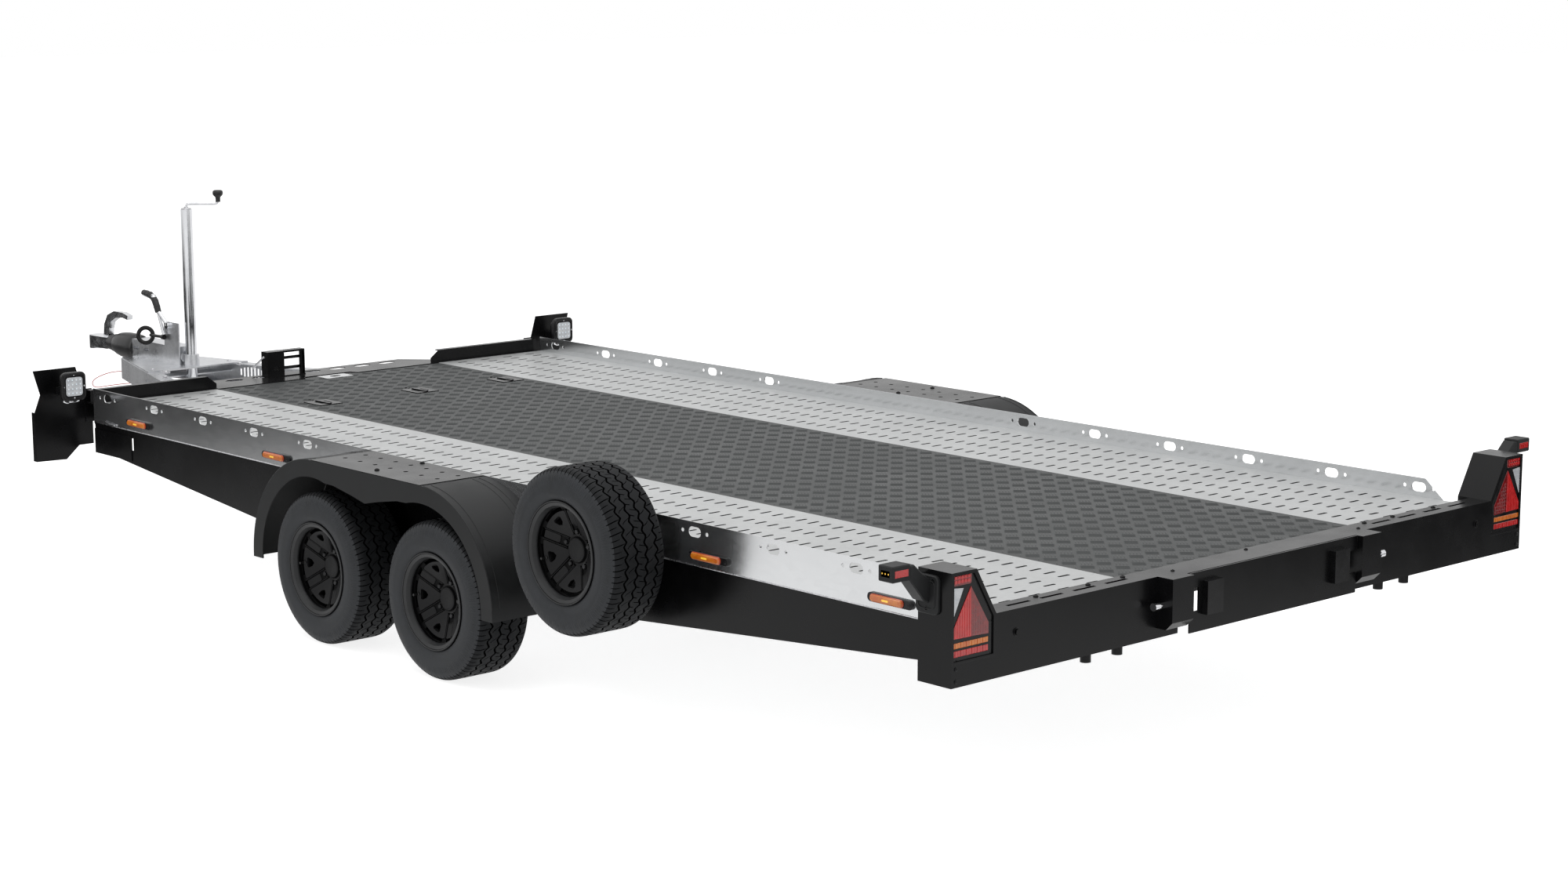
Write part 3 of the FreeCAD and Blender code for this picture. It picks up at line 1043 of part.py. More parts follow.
# Axles: tube through the sills, trailing arms and stub axles
armX = "innerWidth / 2 + 6"
for end, along in (("rear", "axleRear"), ("front", "axleRear + axleGap")):
    parts = [rod("Axle" + end, "axleTube / 2", "innerWidth + 14",
        ("-innerWidth / 2 - 7", along + " + armLead", "axleHeight"), ALONG_X)]
    arm = slab("Arm" + end, "YZ_Plane", [
        (along + " - 26", "wheelRadius - 26"), (along + " + 14", "wheelRadius - 26"),
        (along + " + armLead + axleTube / 2", "axleHeight - 20"), (along + " + armLead + axleTube / 2",
            "axleHeight + 24"),
        (along + " + armLead - 20", "axleHeight + axleTube / 2"), (along + " - 26", "wheelRadius + 26")],
        "armWide", (armX, "0", "0"))
    stub = rod("Stub" + end, "stubRadius", "wheelOuter - 110 - innerWidth / 2",
        (armX, along, "wheelRadius"), ALONG_X)
    parts += [arm, mirrored("ArmLeft" + end, arm), stub, mirrored("StubLeft" + end, stub)]
    node("axle_" + end, fuse("AxleWhole" + end, parts))

# Mudguards over both wheels: flat step between two quarter rings, with a side rim
guardWidth = "(guardOuter - guardInner)"
archTop = "(guardTop - stepSheet - seatGap)"
archRadius = "(guardArc - stepSheet - seatGap)"
archAxis = "(guardTop - guardArc)"
archEnds = ("(guardMid - guardHalf)", "(guardMid + guardHalf)")


def archBlock(name, inset, x, wide):
    """Solid under the mudguard's outline, less an inset, down to the arches' axis."""
    parts = [rod("%sArch%d" % (name, k), "%s - %s" % (archRadius, inset), wide, (x, along, archAxis),
        ALONG_X)
             for k, along in enumerate(archEnds)]
    parts.append(box(name + "Middle", (x, archEnds[0], "%s - 40" % archAxis),
                     (wide, "2 * guardHalf", "%s - %s - %s + 40" % (archTop, archAxis, inset))))
    reach = "(guardHalf + %s - %s)" % (archRadius, inset)
    parts.append(box(name + "Tail", (x, "guardMid - " + reach, "guardDrop"),
        (wide, "2 * " + reach, archAxis + " - guardDrop")))
    return fuse(name, parts)


lowCut = box("GuardLow", ("guardInner - 10", "guardMid - guardHalf - guardArc - 10",
    "guardDrop - guardArc"),
             (guardWidth + " + 20", "2 * (guardHalf + guardArc + 10)", "guardArc"))
band = cut("GuardBand", archBlock("BandOut", "0", "guardInner", guardWidth),
           [archBlock("BandIn", "guardWall", "guardInner - 5", guardWidth + " + 10")])
dip = slab("SkirtDip", "YZ_Plane", [
    (archEnds[0], "guardDrop - 20"), (archEnds[1], "guardDrop - 20"), (archEnds[1], "guardTop - skirtEnd"),
    ("guardMid + 0.58 * guardHalf", "guardTop - skirtEnd - 3"), ("guardMid + 0.25 * guardHalf",
        "guardTop - skirtEnd - 20"),
    ("guardMid", "guardTop - skirtMid"), ("guardMid - 0.25 * guardHalf", "guardTop - skirtEnd - 20"),
    ("guardMid - 0.58 * guardHalf", "guardTop - skirtEnd - 3"), (archEnds[0], "guardTop - skirtEnd")],
    "guardWall + 4", ("guardOuter - guardWall - 2", "0", "0"))
rimTools = [dip]
for k, along in enumerate(archEnds):
    rimTools.append(rod("RimArch%d" % k, archRadius + " - guardRim", "guardWall + 4",
        ("guardOuter - guardWall - 2", along, archAxis), ALONG_X))
rimTools.append(box("RimTail", ("guardOuter - guardWall - 2",
    "guardMid - guardHalf - %s + guardRim" % archRadius, "guardDrop - 20"),
                    ("guardWall + 4", "2 * (guardHalf + %s - guardRim)" % archRadius,
                        archAxis + " - guardDrop + 20")))
skirt = cut("GuardSkirt", archBlock("SkirtOut", "0", "guardOuter - guardWall", "guardWall"), rimTools)
guardRight = cut("GuardRight", fuse("GuardWhole", [band, skirt]), [lowCut])
node("mudguard_right", guardRight)
node("mudguard_left", mirrored("GuardLeft", guardRight))
stepPlain = box("StepPlain", ("guardInner", archEnds[0], "guardTop - stepSheet"),
    (guardWidth, "2 * guardHalf", "stepSheet"))
stepHoles = [rod("StepHole%d%d" % (k, j), "stepHole", "stepSheet + 2",
                 ("guardInner + %s * %s" % (part, guardWidth), "guardMid + %d * stepPitch" % (j - 3),
                     "guardTop - stepSheet - 1"))
             for k, part in enumerate(("0.26", "0.585")) for j in range(7)]
stepRight = cut("StepRight", stepPlain, stepHoles)
node("step_plates", together("StepPlates", [stepRight, mirrored("StepLeft", stepRight)]))

# Spare wheel upright on the left rail
spareMid = "-(innerWidth / 2 + sheetWall + spareGap + wheelWide / 2)"
spareTyre = copyOf("SpareTyreRight", tyre, "-%s" % spareMid, "spareY", "spareHeight")
spareRim = copyOf("SpareRimRight", rim, "-%s" % spareMid, "spareY", "spareHeight",
                  FreeCAD.Rotation(V(1, 0, 0), -18))
node("spare_tyre", mirrored("SpareTyre", spareTyre))
node("spare_rim", mirrored("SpareRim", spareRim))
discBack = "spareGap + wheelWide / 2 + dishHub - discWall"
carrier = fuse("CarrierRight", [
    box("CarrierPlate", ("innerWidth / 2 + sheetWall", "spareY - 80", "spareHeight - 80"),
        ("6", "160", "160")),
    rod("CarrierTube", "30", discBack + " - seatGap", ("innerWidth / 2 + sheetWall", "spareY",
        "spareHeight"), ALONG_X)])
node("spare_carrier", mirrored("Carrier", carrier))


# Tail lamps in the lamp posts, marker arms, side markers and plate lamps
tailLamps = [slab("TailLamp%d" % k, "XZ_Plane", postOutline(side, "(beamSheet + seatGap)",
    "lampLow - 2 * beamSheet"),
                  "lampDeep - lampSink", ("0", "-beamRear + beamSheet + seatGap",
                      "0")) for k, side in enumerate((-1, 1))]
node("tail_lamps", together("TailLamps", tailLamps))
markerHigh = "(markerLow + markerTall)"
markerFoot = box("MarkerFoot", ("beamHalf", "-postFront + 2 - markerFootLong", "markerFootLow"),
                 ("8", "markerFootLong", "markerFootTall"))
markerNeck = slab("MarkerNeck", "XZ_Plane", [
    ("beamHalf + 6", "markerFootLow + 35"), ("markerTip - markerWide + 4", "markerLow"),
    ("markerTip - markerWide + 4", markerHigh + " - 8"), ("beamHalf + 6",
        "markerFootLow + markerFootTall - 14")],
    "markerDeep - 9", ("0", "-markerY - markerDeep / 2 + 2", "0"))
markerLamp = box("MarkerLamp", ("markerTip - markerWide", "-markerY - markerDeep / 2", "markerLow"),
                 ("markerWide", "markerDeep", "markerTall"))
markerRight = fuse("MarkerRight", [markerFoot, markerNeck, markerLamp])
node("marker_arms", together("MarkerArms", [markerRight, mirrored("MarkerLeft", markerRight)]))
sideLamps = []
for k, along in enumerate(("290", "1026", "bedLength - 1249", "bedLength - 335")):
    right = box("SideLamp%d" % k, ("innerWidth / 2 + sheetWall", "%s - sideLampLong / 2" % along,
        "sideLampMid - sideLampTall / 2"),
                ("sideLampDeep", "sideLampLong", "sideLampTall"))
    sideLamps += [right, mirrored("SideLampLeft%d" % k, right)]
node("side_markers", together("SideMarkers", sideLamps))
node("plate_lamps", together("PlateLamps", lampsRear))

# Check every piece, then write one file for each sub-part
doc.recompute()
for thing in doc.Objects:
    if "Invalid" in thing.State or "Error" in thing.State:
        raise RuntimeError("%s: %s" % (thing.Name, thing.State))
os.makedirs("parts", exist_ok=True)
for piece in NODES:
    if piece.Shape.isNull() or not piece.Shape.isValid():
        raise RuntimeError("%s has no valid shape" % piece.Label)
    piece.Shape.exportStep("parts/%s.step" % piece.Label)
    low = piece.Shape.BoundBox
    print("%-20s %7.1f %7.1f  %7.1f %7.1f  %6.1f %6.1f  solids %d" % (
        piece.Label, low.XMin, low.XMax, low.YMin, low.YMax, low.ZMin, low.ZMax, len(piece.Shape.Solids)))
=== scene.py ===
import math
from itertools import product

import bmesh
import bpy
from mathutils import Matrix, Vector
from mathutils.geometry import tessellate_polygon


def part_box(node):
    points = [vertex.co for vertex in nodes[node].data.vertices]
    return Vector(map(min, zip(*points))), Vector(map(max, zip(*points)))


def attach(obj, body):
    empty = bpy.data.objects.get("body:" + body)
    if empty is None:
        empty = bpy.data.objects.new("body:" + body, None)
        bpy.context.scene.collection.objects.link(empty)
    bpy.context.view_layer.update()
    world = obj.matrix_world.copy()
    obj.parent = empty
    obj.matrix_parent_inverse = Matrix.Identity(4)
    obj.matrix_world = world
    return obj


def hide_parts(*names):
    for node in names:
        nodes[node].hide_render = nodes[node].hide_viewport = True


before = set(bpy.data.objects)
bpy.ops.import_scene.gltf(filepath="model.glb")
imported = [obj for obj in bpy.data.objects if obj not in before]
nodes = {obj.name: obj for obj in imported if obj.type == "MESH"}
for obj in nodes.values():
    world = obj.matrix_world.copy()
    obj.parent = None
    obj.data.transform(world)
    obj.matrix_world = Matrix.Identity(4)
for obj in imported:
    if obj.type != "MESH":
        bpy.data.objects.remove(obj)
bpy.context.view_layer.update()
scene = bpy.context.scene
scene.view_settings.view_transform = "Standard"

# Camera at the photograph's place
cameraValues = {
    "place": (-6.334, -8.1535, 2.2396),
    "yaw": -42.531,
    "tilt": 80.192,
    "roll": -0.06,
    "lens": 66.09,
    "sensor": 36,
    "farthest": 400,
}
cameraData = bpy.data.cameras.new("photoCamera")
cameraData.sensor_width = cameraValues["sensor"]
cameraData.lens = cameraValues["lens"]
cameraData.clip_end = cameraValues["farthest"]
camera = bpy.data.objects.new("photoCamera", cameraData)
scene.collection.objects.link(camera)
camera.matrix_world = (Matrix.Translation(cameraValues["place"])
                       @ Matrix.Rotation(math.radians(cameraValues["yaw"]), 4, "Z")
                       @ Matrix.Rotation(math.radians(cameraValues["tilt"]), 4, "X")
                       @ Matrix.Rotation(math.radians(cameraValues["roll"]), 4, "Z"))
scene.camera = camera
print("camera placed")


def linkNew(tree, kind, inputs, **settings):
    # New node with its sockets linked or set
    made = tree.nodes.new(kind)
    for name, value in settings.items():
        setattr(made, name, value)
    for socket, value in inputs.items():
        if isinstance(value, bpy.types.NodeSocket):
            tree.links.new(value, made.inputs[socket])
        else:
            made.inputs[socket].default_value = value
    return made


# Finishes: two tones in patches, a range of roughness and a fine relief
texture = {
    "coatRough": 0.08,
    "cloudDetail": 5,
    "cloudRough": 0.62,
    "grainDetail": 3,
    "spread": (0.35, 0.68),
    "roughSpread": (0.3, 0.7),
}


def makeFinish(name, look):
    material = bpy.data.materials.new(name)
    material.use_nodes = True
    tree = material.node_tree
    shader = tree.nodes["Principled BSDF"].inputs
    shader["Metallic"].default_value = look.get("metal", 0)
    shader["Coat Weight"].default_value = look.get("coat", 0)
    shader["Coat Roughness"].default_value = texture["coatRough"]
    shader["Specular IOR Level"].default_value = look.get("shine", 0.5)
    place = tree.nodes.new("ShaderNodeTexCoord")
    stretch = linkNew(tree, "ShaderNodeMapping", {"Vector": place.outputs["Object"],
                                                  "Scale": look.get("stretch", (1, 1, 1))})
    spot = stretch.outputs["Vector"]
    cloud = linkNew(tree, "ShaderNodeTexNoise", {"Vector": spot, "Scale": look["patch"],
                                                 "Detail": texture["cloudDetail"],
                                                 "Roughness": texture["cloudRough"]})
    pattern = cloud.outputs["Fac"]
    if look.get("spangle"):
        # Zinc crystals
        flakes = linkNew(tree, "ShaderNodeTexVoronoi", {"Vector": spot, "Scale": look["spangle"]})
        grey = linkNew(tree, "ShaderNodeSeparateColor", {"Color": flakes.outputs["Color"]})
        pattern = linkNew(tree, "ShaderNodeMix", {"Factor": look["flakeShare"], "A": cloud.outputs["Fac"],
                                                  "B": grey.outputs["Red"]}).outputs["Result"]
    tone = linkNew(tree, "ShaderNodeValToRGB", {"Fac": pattern})
    for element, where, colour in zip(tone.color_ramp.elements, texture["spread"], look["tones"]):
        element.position = where
        element.color = colour + (1,)
    tree.links.new(tone.outputs["Color"], shader["Base Color"])
    if look.get("glow"):
        tree.links.new(tone.outputs["Color"], shader["Emission Color"])
        shader["Emission Strength"].default_value = look["glow"]
    fromLow, fromHigh = texture["roughSpread"]
    toLow, toHigh = look["rough"]
    rough = linkNew(tree, "ShaderNodeMapRange", {"Value": pattern, "From Min": fromLow, "From Max": fromHigh,
                                                 "To Min": toLow, "To Max": toHigh})
    tree.links.new(rough.outputs["Result"], shader["Roughness"])
    if look["relief"]:
        grain = linkNew(tree, "ShaderNodeTexNoise", {"Vector": spot, "Scale": look["grain"],
                                                     "Detail": texture["grainDetail"]})
        bump = linkNew(tree, "ShaderNodeBump", {"Height": grain.outputs["Fac"], "Strength": look["relief"],
                                                "Distance": look.get("depth", 0.0006)})
        tree.links.new(bump.outputs["Normal"], shader["Normal"])
    return material


def look(dark, light, patch, rough, grain=0, relief=0, **more):
    return {"tones": (dark, light), "patch": patch, "rough": rough, "grain": grain, "relief": relief, **more}


looks = {
    "runwayZinc": look((0.56, 0.57, 0.57), (0.66, 0.67, 0.67), 3.5, (0.34, 0.46), 260, 0.12, metal=0.45, spangle=90,
                       flakeShare=0.15),
    # Painted shade: near-black walls inside the runway's slots
    "slotEdge": look((0.01, 0.01, 0.011), (0.03, 0.03, 0.031), 60, (0.5, 0.7), metal=0.3),
    "railZinc": look((0.7, 0.71, 0.72), (0.8, 0.81, 0.82), 2.5, (0.14, 0.22), 160, 0.04, metal=0.96, spangle=60,
                     flakeShare=0.1, stretch=(1, 0.4, 1)),
    "frameZinc": look((0.6, 0.61, 0.63), (0.78, 0.79, 0.81), 7, (0.26, 0.36), 220, 0.012, metal=0.94, spangle=110,
                      flakeShare=0.15),
    "tubeZinc": look((0.72, 0.73, 0.75), (0.82, 0.83, 0.85), 14, (0.1, 0.16), 90, 0.004, metal=1.0),
    "blackCoat": look((0.0035, 0.0035, 0.0038), (0.007, 0.007, 0.0077), 6, (0.2, 0.3), 420, 0.1, depth=0.0003,
                      shine=0.22),
    "treadPaint": look((0.044, 0.048, 0.048), (0.065, 0.069, 0.069), 5, (0.42, 0.56), 300, 0.25, depth=0.0004,
                       metal=0.1, shine=0.3),
    "tyreRubber": look((0.02, 0.022, 0.025), (0.04, 0.043, 0.048), 18, (0.52, 0.7), 500, 0.25, depth=0.0004,
                       shine=0.42),
    "treadRubber": look((0.009, 0.01, 0.011), (0.019, 0.02, 0.022), 30, (0.6, 0.8), 500, 0.25, depth=0.0004,
                        shine=0.22),
    # Painted shade: near-black rubber on the walls and floors of grooves and cuts
    "grooveRubber": look((0.0015, 0.0015, 0.0016), (0.0035, 0.0035, 0.0038), 60, (0.8, 0.95), 500, 0.2, depth=0.0003,
                         shine=0.03),
    "rimBlack": look((0.002, 0.002, 0.0022), (0.005, 0.005, 0.0055), 12, (0.5, 0.65), 300, 0.15, depth=0.0003,
                     shine=0.12),
    "rimFace": look((0.006, 0.006, 0.0065), (0.01, 0.01, 0.011), 30, (0.38, 0.5), 300, 0.15, depth=0.0003,
                    shine=0.25),
    # Painted light: a lighter copy of the rim's black paint, for the ring and bead inside the flange
    "rimRing": look((0.028, 0.029, 0.03), (0.042, 0.043, 0.045), 24, (0.4, 0.52), 300, 0.15, depth=0.0003, shine=0.4),
    "nutBlack": look((0.01, 0.01, 0.011), (0.024, 0.024, 0.026), 90, (0.25, 0.4), 300, 0.1, depth=0.0002, metal=0.3),
    "guardPlastic": look((0.014, 0.0145, 0.015), (0.024, 0.025, 0.026), 7, (0.46, 0.62), 650, 0.35, depth=0.0004,
                         shine=0.3),
    "lampPlastic": look((0.006, 0.006, 0.0065), (0.012, 0.012, 0.013), 20, (0.18, 0.32), 500, 0.12, depth=0.0002,
                        shine=0.3),
    "bellowsRubber": look((0.012, 0.012, 0.012), (0.024, 0.024, 0.025), 16, (0.3, 0.46), 240, 0.2, depth=0.0004),
    "redLens": look((0.62, 0.007, 0.009), (0.86, 0.018, 0.018), 40, (0.1, 0.18), 300, 0.05, coat=0.8),
    "deepRedLens": look((0.2, 0.004, 0.006), (0.36, 0.008, 0.01), 60, (0.1, 0.2), 300, 0.05, coat=0.8),
    "amberLens": look((0.8, 0.16, 0.01), (0.98, 0.3, 0.02), 40, (0.12, 0.2), 300, 0.05, coat=0.8),
    "clearLens": look((0.66, 0.7, 0.74), (0.9, 0.92, 0.94), 55, (0.06, 0.16), 200, 0.06, coat=1.0),
    "brightChrome": look((0.74, 0.75, 0.77), (0.9, 0.9, 0.92), 25, (0.06, 0.14), 120, 0.05, metal=1.0),
    "zincCasting": look((0.72, 0.73, 0.75), (0.86, 0.87, 0.89), 30, (0.12, 0.22), 160, 0.012, metal=1.0),
    "plainAluminium": look((0.62, 0.62, 0.62), (0.8, 0.8, 0.79), 20, (0.28, 0.42), 120, 0.2, metal=0.9,
                           stretch=(6, 0.4, 6)),
    "boltZinc": look((0.5, 0.5, 0.52), (0.74, 0.74, 0.76), 70, (0.2, 0.34), 300, 0.1, metal=1.0),
    "redSheath": look((0.55, 0.015, 0.012), (0.72, 0.03, 0.022), 90, (0.25, 0.4), 700, 0.1),
    "amberEdge": look((0.55, 0.045, 0.004), (0.8, 0.09, 0.008), 60, (0.14, 0.22), 300, 0.05, coat=0.8),
    "amberGlow": look((0.98, 0.52, 0.03), (1.0, 0.66, 0.08), 200, (0.1, 0.2), 500, 0.05, coat=0.5, glow=0.5),
    "ledWhite": look((0.75, 0.88, 1.0), (0.9, 0.97, 1.0), 200, (0.1, 0.2), 500, 0.05, coat=0.5, glow=0.35),
    # Painted shade: near-black finish standing in for holes and recesses
    "darkHole": look((0.002, 0.002, 0.002), (0.005, 0.005, 0.005), 40, (0.7, 0.9), shine=0.02),
}
finish = {name: makeFinish(name, values) for name, values in looks.items()}
print("finishes made:", len(finish))


# Breakaway cable, on the same points as its solid
cableValues = {
    "points": [(2.8925, 0.408), (3.05, 0.392), (3.18, 0.362), (3.284, 0.322), (3.266, 0.29), (3.13, 0.318),
               (2.93, 0.352), (2.7405, 0.378)],
    "across": -0.03,
    "diameter": 0.0035,
    "length": 0.9595,
    "steps": 14,
    "roundSteps": 3,
}
cableCurve = bpy.data.curves.new("breakawayCable", "CURVE")
cableCurve.dimensions = "3D"
cableCurve.resolution_u = cableValues["steps"]
cableCurve.bevel_depth = cableValues["diameter"] / 2
cableCurve.bevel_resolution = cableValues["roundSteps"]
cableCurve.use_fill_caps = True
line = cableCurve.splines.new("NURBS")
line.points.add(len(cableValues["points"]) - 1)
for point, (along, high) in zip(line.points, cableValues["points"]):
    point.co = (cableValues["across"], along, high, 1)
line.order_u = 3
line.use_endpoint_u = True
cable = bpy.data.objects.new("breakawayCable", cableCurve)
scene.collection.objects.link(cable)
cableCurve.materials.append(finish["redSheath"])
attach(cable, "trailer")
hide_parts("breakaway_cable")
print("cable made")


# Floor, lamp and world; bright metal reflects a pale floor with two darker patches, as in the photograph; the patches
# exist only in glossy rays and are a painted reflection
studio = {
    "floorSide": 90,
    "floorPlace": -0.001,
    "floorTone": (0.8, 0.8, 0.8),
    "floorRough": 0.9,
    "floorShine": 0.1,
    "floorGlow": 0.82,
    "patches": (((-4.0, 6.5, 0), 2.6, 7.4), ((4.2, -5.6, 0), 1.2, 4.2)),
    "patchDepth": 0.97,
    "lampSide": 8,
    "lampPlace": (-1.0, -0.6, 7),
    "lampPower": 200,
    "worldDiffuse": 0.5,
    "worldGlossy": 0.86,
}

floorMesh = bmesh.new()
bmesh.ops.create_grid(floorMesh, x_segments=2, y_segments=2, size=studio["floorSide"] / 2)
floorData = bpy.data.meshes.new("studioFloor")
floorMesh.to_mesh(floorData)
floorMesh.free()
floor = bpy.data.objects.new("studioFloor", floorData)
floor.location.z = studio["floorPlace"]
scene.collection.objects.link(floor)
floorFinish = bpy.data.materials.new("studioFloor")
floorFinish.use_nodes = True
tree = floorFinish.node_tree
matt = tree.nodes["Principled BSDF"]
matt.inputs["Base Color"].default_value = studio["floorTone"] + (1,)
matt.inputs["Roughness"].default_value = studio["floorRough"]
matt.inputs["Specular IOR Level"].default_value = studio["floorShine"]
matt.inputs["Emission Color"].default_value = (1, 1, 1, 1)
path = tree.nodes.new("ShaderNodeLightPath")
seen = linkNew(tree, "ShaderNodeMath", {0: path.outputs["Is Camera Ray"], 1: path.outputs["Is Transmission Ray"]},
               operation="MAXIMUM")
glow = linkNew(tree, "ShaderNodeMath", {0: seen.outputs[0], 1: studio["floorGlow"]}, operation="MULTIPLY")
tree.links.new(glow.outputs[0], matt.inputs["Emission Strength"])
place = tree.nodes.new("ShaderNodeTexCoord")
level = None
for middle, near, far in studio["patches"]:
    away = linkNew(tree, "ShaderNodeVectorMath", {0: place.outputs["Object"], 1: middle}, operation="DISTANCE")
    tone = linkNew(tree, "ShaderNodeMapRange", {"Value": away.outputs["Value"], "From Min": near, "From Max": far,
                                                "To Min": 1 - studio["patchDepth"], "To Max": 1.0},
                   interpolation_type="SMOOTHSTEP")
    if level is None:
        level = tone.outputs["Result"]
    else:
        level = linkNew(tree, "ShaderNodeMath", {0: level, 1: tone.outputs["Result"]}, operation="MULTIPLY").outputs[0]
# Painted reflection: glossy rays see an emission that is darker round the two patches
paintedReflectionGlow = linkNew(tree, "ShaderNodeEmission", {"Color": (1, 1, 1, 1), "Strength": level})
both = linkNew(tree, "ShaderNodeMixShader", {0: path.outputs["Is Glossy Ray"], 1: matt.outputs[0],
                                             2: paintedReflectionGlow.outputs[0]})
tree.links.new(both.outputs[0], tree.nodes["Material Output"].inputs["Surface"])
floorData.materials.append(floorFinish)

lampData = bpy.data.lights.new("softTop", "AREA")
lampData.shape = "SQUARE"
lampData.size = studio["lampSide"]
lampData.energy = studio["lampPower"]
lamp = bpy.data.objects.new("softTop", lampData)
lamp.location = studio["lampPlace"]
scene.collection.objects.link(lamp)

world = bpy.data.worlds.new("studioWorld")
scene.world = world
world.use_nodes = True
tree = world.node_tree
path = tree.nodes.new("ShaderNodeLightPath")
ambient = linkNew(tree, "ShaderNodeMix", {"Factor": path.outputs["Is Glossy Ray"], "A": studio["worldDiffuse"],
                                          "B": studio["worldGlossy"]}, data_type="FLOAT")
direct = linkNew(tree, "ShaderNodeMath", {0: path.outputs["Is Camera Ray"], 1: path.outputs["Is Transmission Ray"]},
                 operation="MAXIMUM")
whole = linkNew(tree, "ShaderNodeMix", {"Factor": direct.outputs[0], "A": ambient.outputs["Result"], "B": 1.0},
                data_type="FLOAT")
tree.nodes["Background"].inputs["Color"].default_value = (1, 1, 1, 1)
tree.links.new(whole.outputs["Result"], tree.nodes["Background"].inputs["Strength"])
print("studio lit")


# Shapes are lists of points and faces, turned into one mesh each
def newShape():
    return {"points": [], "faces": [], "marks": []}


def addFaces(shape, points, faces, mark=0):
    first = len(shape["points"])
    shape["points"].extend(points)
    for face in faces:
        shape["faces"].append([first + k for k in face])
        shape["marks"].append(mark)


def addBox(shape, low, high, mark, bevel):
    # Box whose edges are cut off by the bevel
    middle = [(a + b) / 2 for a, b in zip(low, high)]
    half = [abs(b - a) / 2 for a, b in zip(low, high)]
    points, spot, faces = [], {}, []
    for sign in product((-1, 1), repeat=3):
        for axis in range(3):
            spot[sign, axis] = len(points)
            points.append([middle[k] + sign[k] * (half[k] - (0 if k == axis else bevel)) for k in range(3)])

    def corner(axis, s, a, b):
        sign = [a, b]
        sign.insert(axis, s)
        return tuple(sign)

    for axis in range(3):
        one, two = [k for k in range(3) if k != axis]
        for s in (-1, 1):
            faces.append([spot[corner(axis, s, a, b), axis] for a, b in ((-1, -1), (1, -1), (1, 1), (-1, 1))])
        for a, b in product((-1, 1), repeat=2):
            # Strip along an edge
            near, far = corner(axis, -1, a, b), corner(axis, 1, a, b)
            faces.append((spot[near, one], spot[near, two], spot[far, two], spot[far, one]))
    for sign in product((-1, 1), repeat=3):
        faces.append([spot[sign, k] for k in range(3)])
    addFaces(shape, points, faces, mark)


def sideways(direction):
    # Two directions square to this one
    forward = Vector(direction).normalized()
    start = Vector((0, 0, 1)) if abs(forward.z) < 0.9 else Vector((1, 0, 0))
    one = forward.cross(start).normalized()
    return forward, one, forward.cross(one)


def addTurned(shape, base, direction, profile, sides=24, mark=0, turn=0.0):
    # Turned piece: distances along the direction, each with its radius
    forward, one, two = sideways(direction)
    base = Vector(base)
    points, rings = [], []
    for away, radius in profile:
        if radius <= 0:
            rings.append([len(points)])
            points.append(base + forward * away)
            continue
        ring = []
        for k in range(sides):
            angle = 2 * math.pi * k / sides + turn
            ring.append(len(points))
            points.append(base + forward * away + (one * math.cos(angle) + two * math.sin(angle)) * radius)
        rings.append(ring)
    faces = []
    for a, b in zip(rings, rings[1:]):
        for k in range(sides):
            n = (k + 1) % sides
            if len(a) == 1 and len(b) > 1:
                faces.append((a[0], b[n], b[k]))
            elif len(b) == 1 and len(a) > 1:
                faces.append((a[k], a[n], b[0]))
            elif len(a) > 1:
                faces.append((a[k], a[n], b[n], b[k]))
    if len(rings[0]) > 1:
        faces.append(rings[0][::-1])
    if len(rings[-1]) > 1:
        faces.append(rings[-1])
    addFaces(shape, points, faces, mark)


def addRod(shape, start, end, radius, sides, mark, bevel):
    # Round rod whose end edges are cut off by the bevel
    away = Vector(end) - Vector(start)
    far = away.length
    addTurned(shape, start, away, [(0, radius - bevel), (bevel, radius), (far - bevel, radius), (far, radius - bevel)],
              sides, mark)


def addSweep(shape, path, radius, sides=10, mark=0, closed=False):
    # Round bar along a path
    path = [Vector(p) for p in path]
    points, rings = [], []
    count = len(path)
    normal = None
    for k, spot in enumerate(path):
        before = path[k - 1] if (k > 0 or closed) else spot
        after = path[(k + 1) % count] if (k < count - 1 or closed) else spot
        along = (after - before).normalized()
        if normal is None:
            normal = sideways(along)[1]
        normal = (normal - along * normal.dot(along)).normalized()
        other = along.cross(normal)
        wide = radius[k] if isinstance(radius, (list, tuple)) else radius
        rings.append(range(len(points), len(points) + sides))
        for j in range(sides):
            angle = 2 * math.pi * j / sides
            points.append(spot + (normal * math.cos(angle) + other * math.sin(angle)) * wide)
    faces = []
    pairs = list(zip(rings, rings[1:])) + ([(rings[-1], rings[0])] if closed else [])
    for a, b in pairs:
        for j in range(sides):
            n = (j + 1) % sides
            faces.append((a[j], a[n], b[n], b[j]))
    if not closed:
        faces.append(list(rings[0])[::-1])
        faces.append(list(rings[-1]))
    addFaces(shape, points, faces, mark)


def insetOutline(outline, inward):
    # Outline moved inwards by the same distance all round
    count = len(outline)
    area = sum(outline[k][0] * outline[(k + 1) % count][1] - outline[(k + 1) % count][0] * outline[k][1]
               for k in range(count))
    way = 1 if area > 0 else -1
    moved = []
    for k in range(count):
        a, b, c = (Vector(outline[k - 1]), Vector(outline[k]), Vector(outline[(k + 1) % count]))
        one, two = (b - a).normalized(), (c - b).normalized()
        left = Vector((-one.y, one.x)) * way
        right = Vector((-two.y, two.x)) * way
        both = left + right
        if both.length < 1e-6:
            both = left
        both.normalize()
        spread = max(0.35, both.dot(left))
        moved.append(tuple(b + both * (inward / spread)))
    return moved


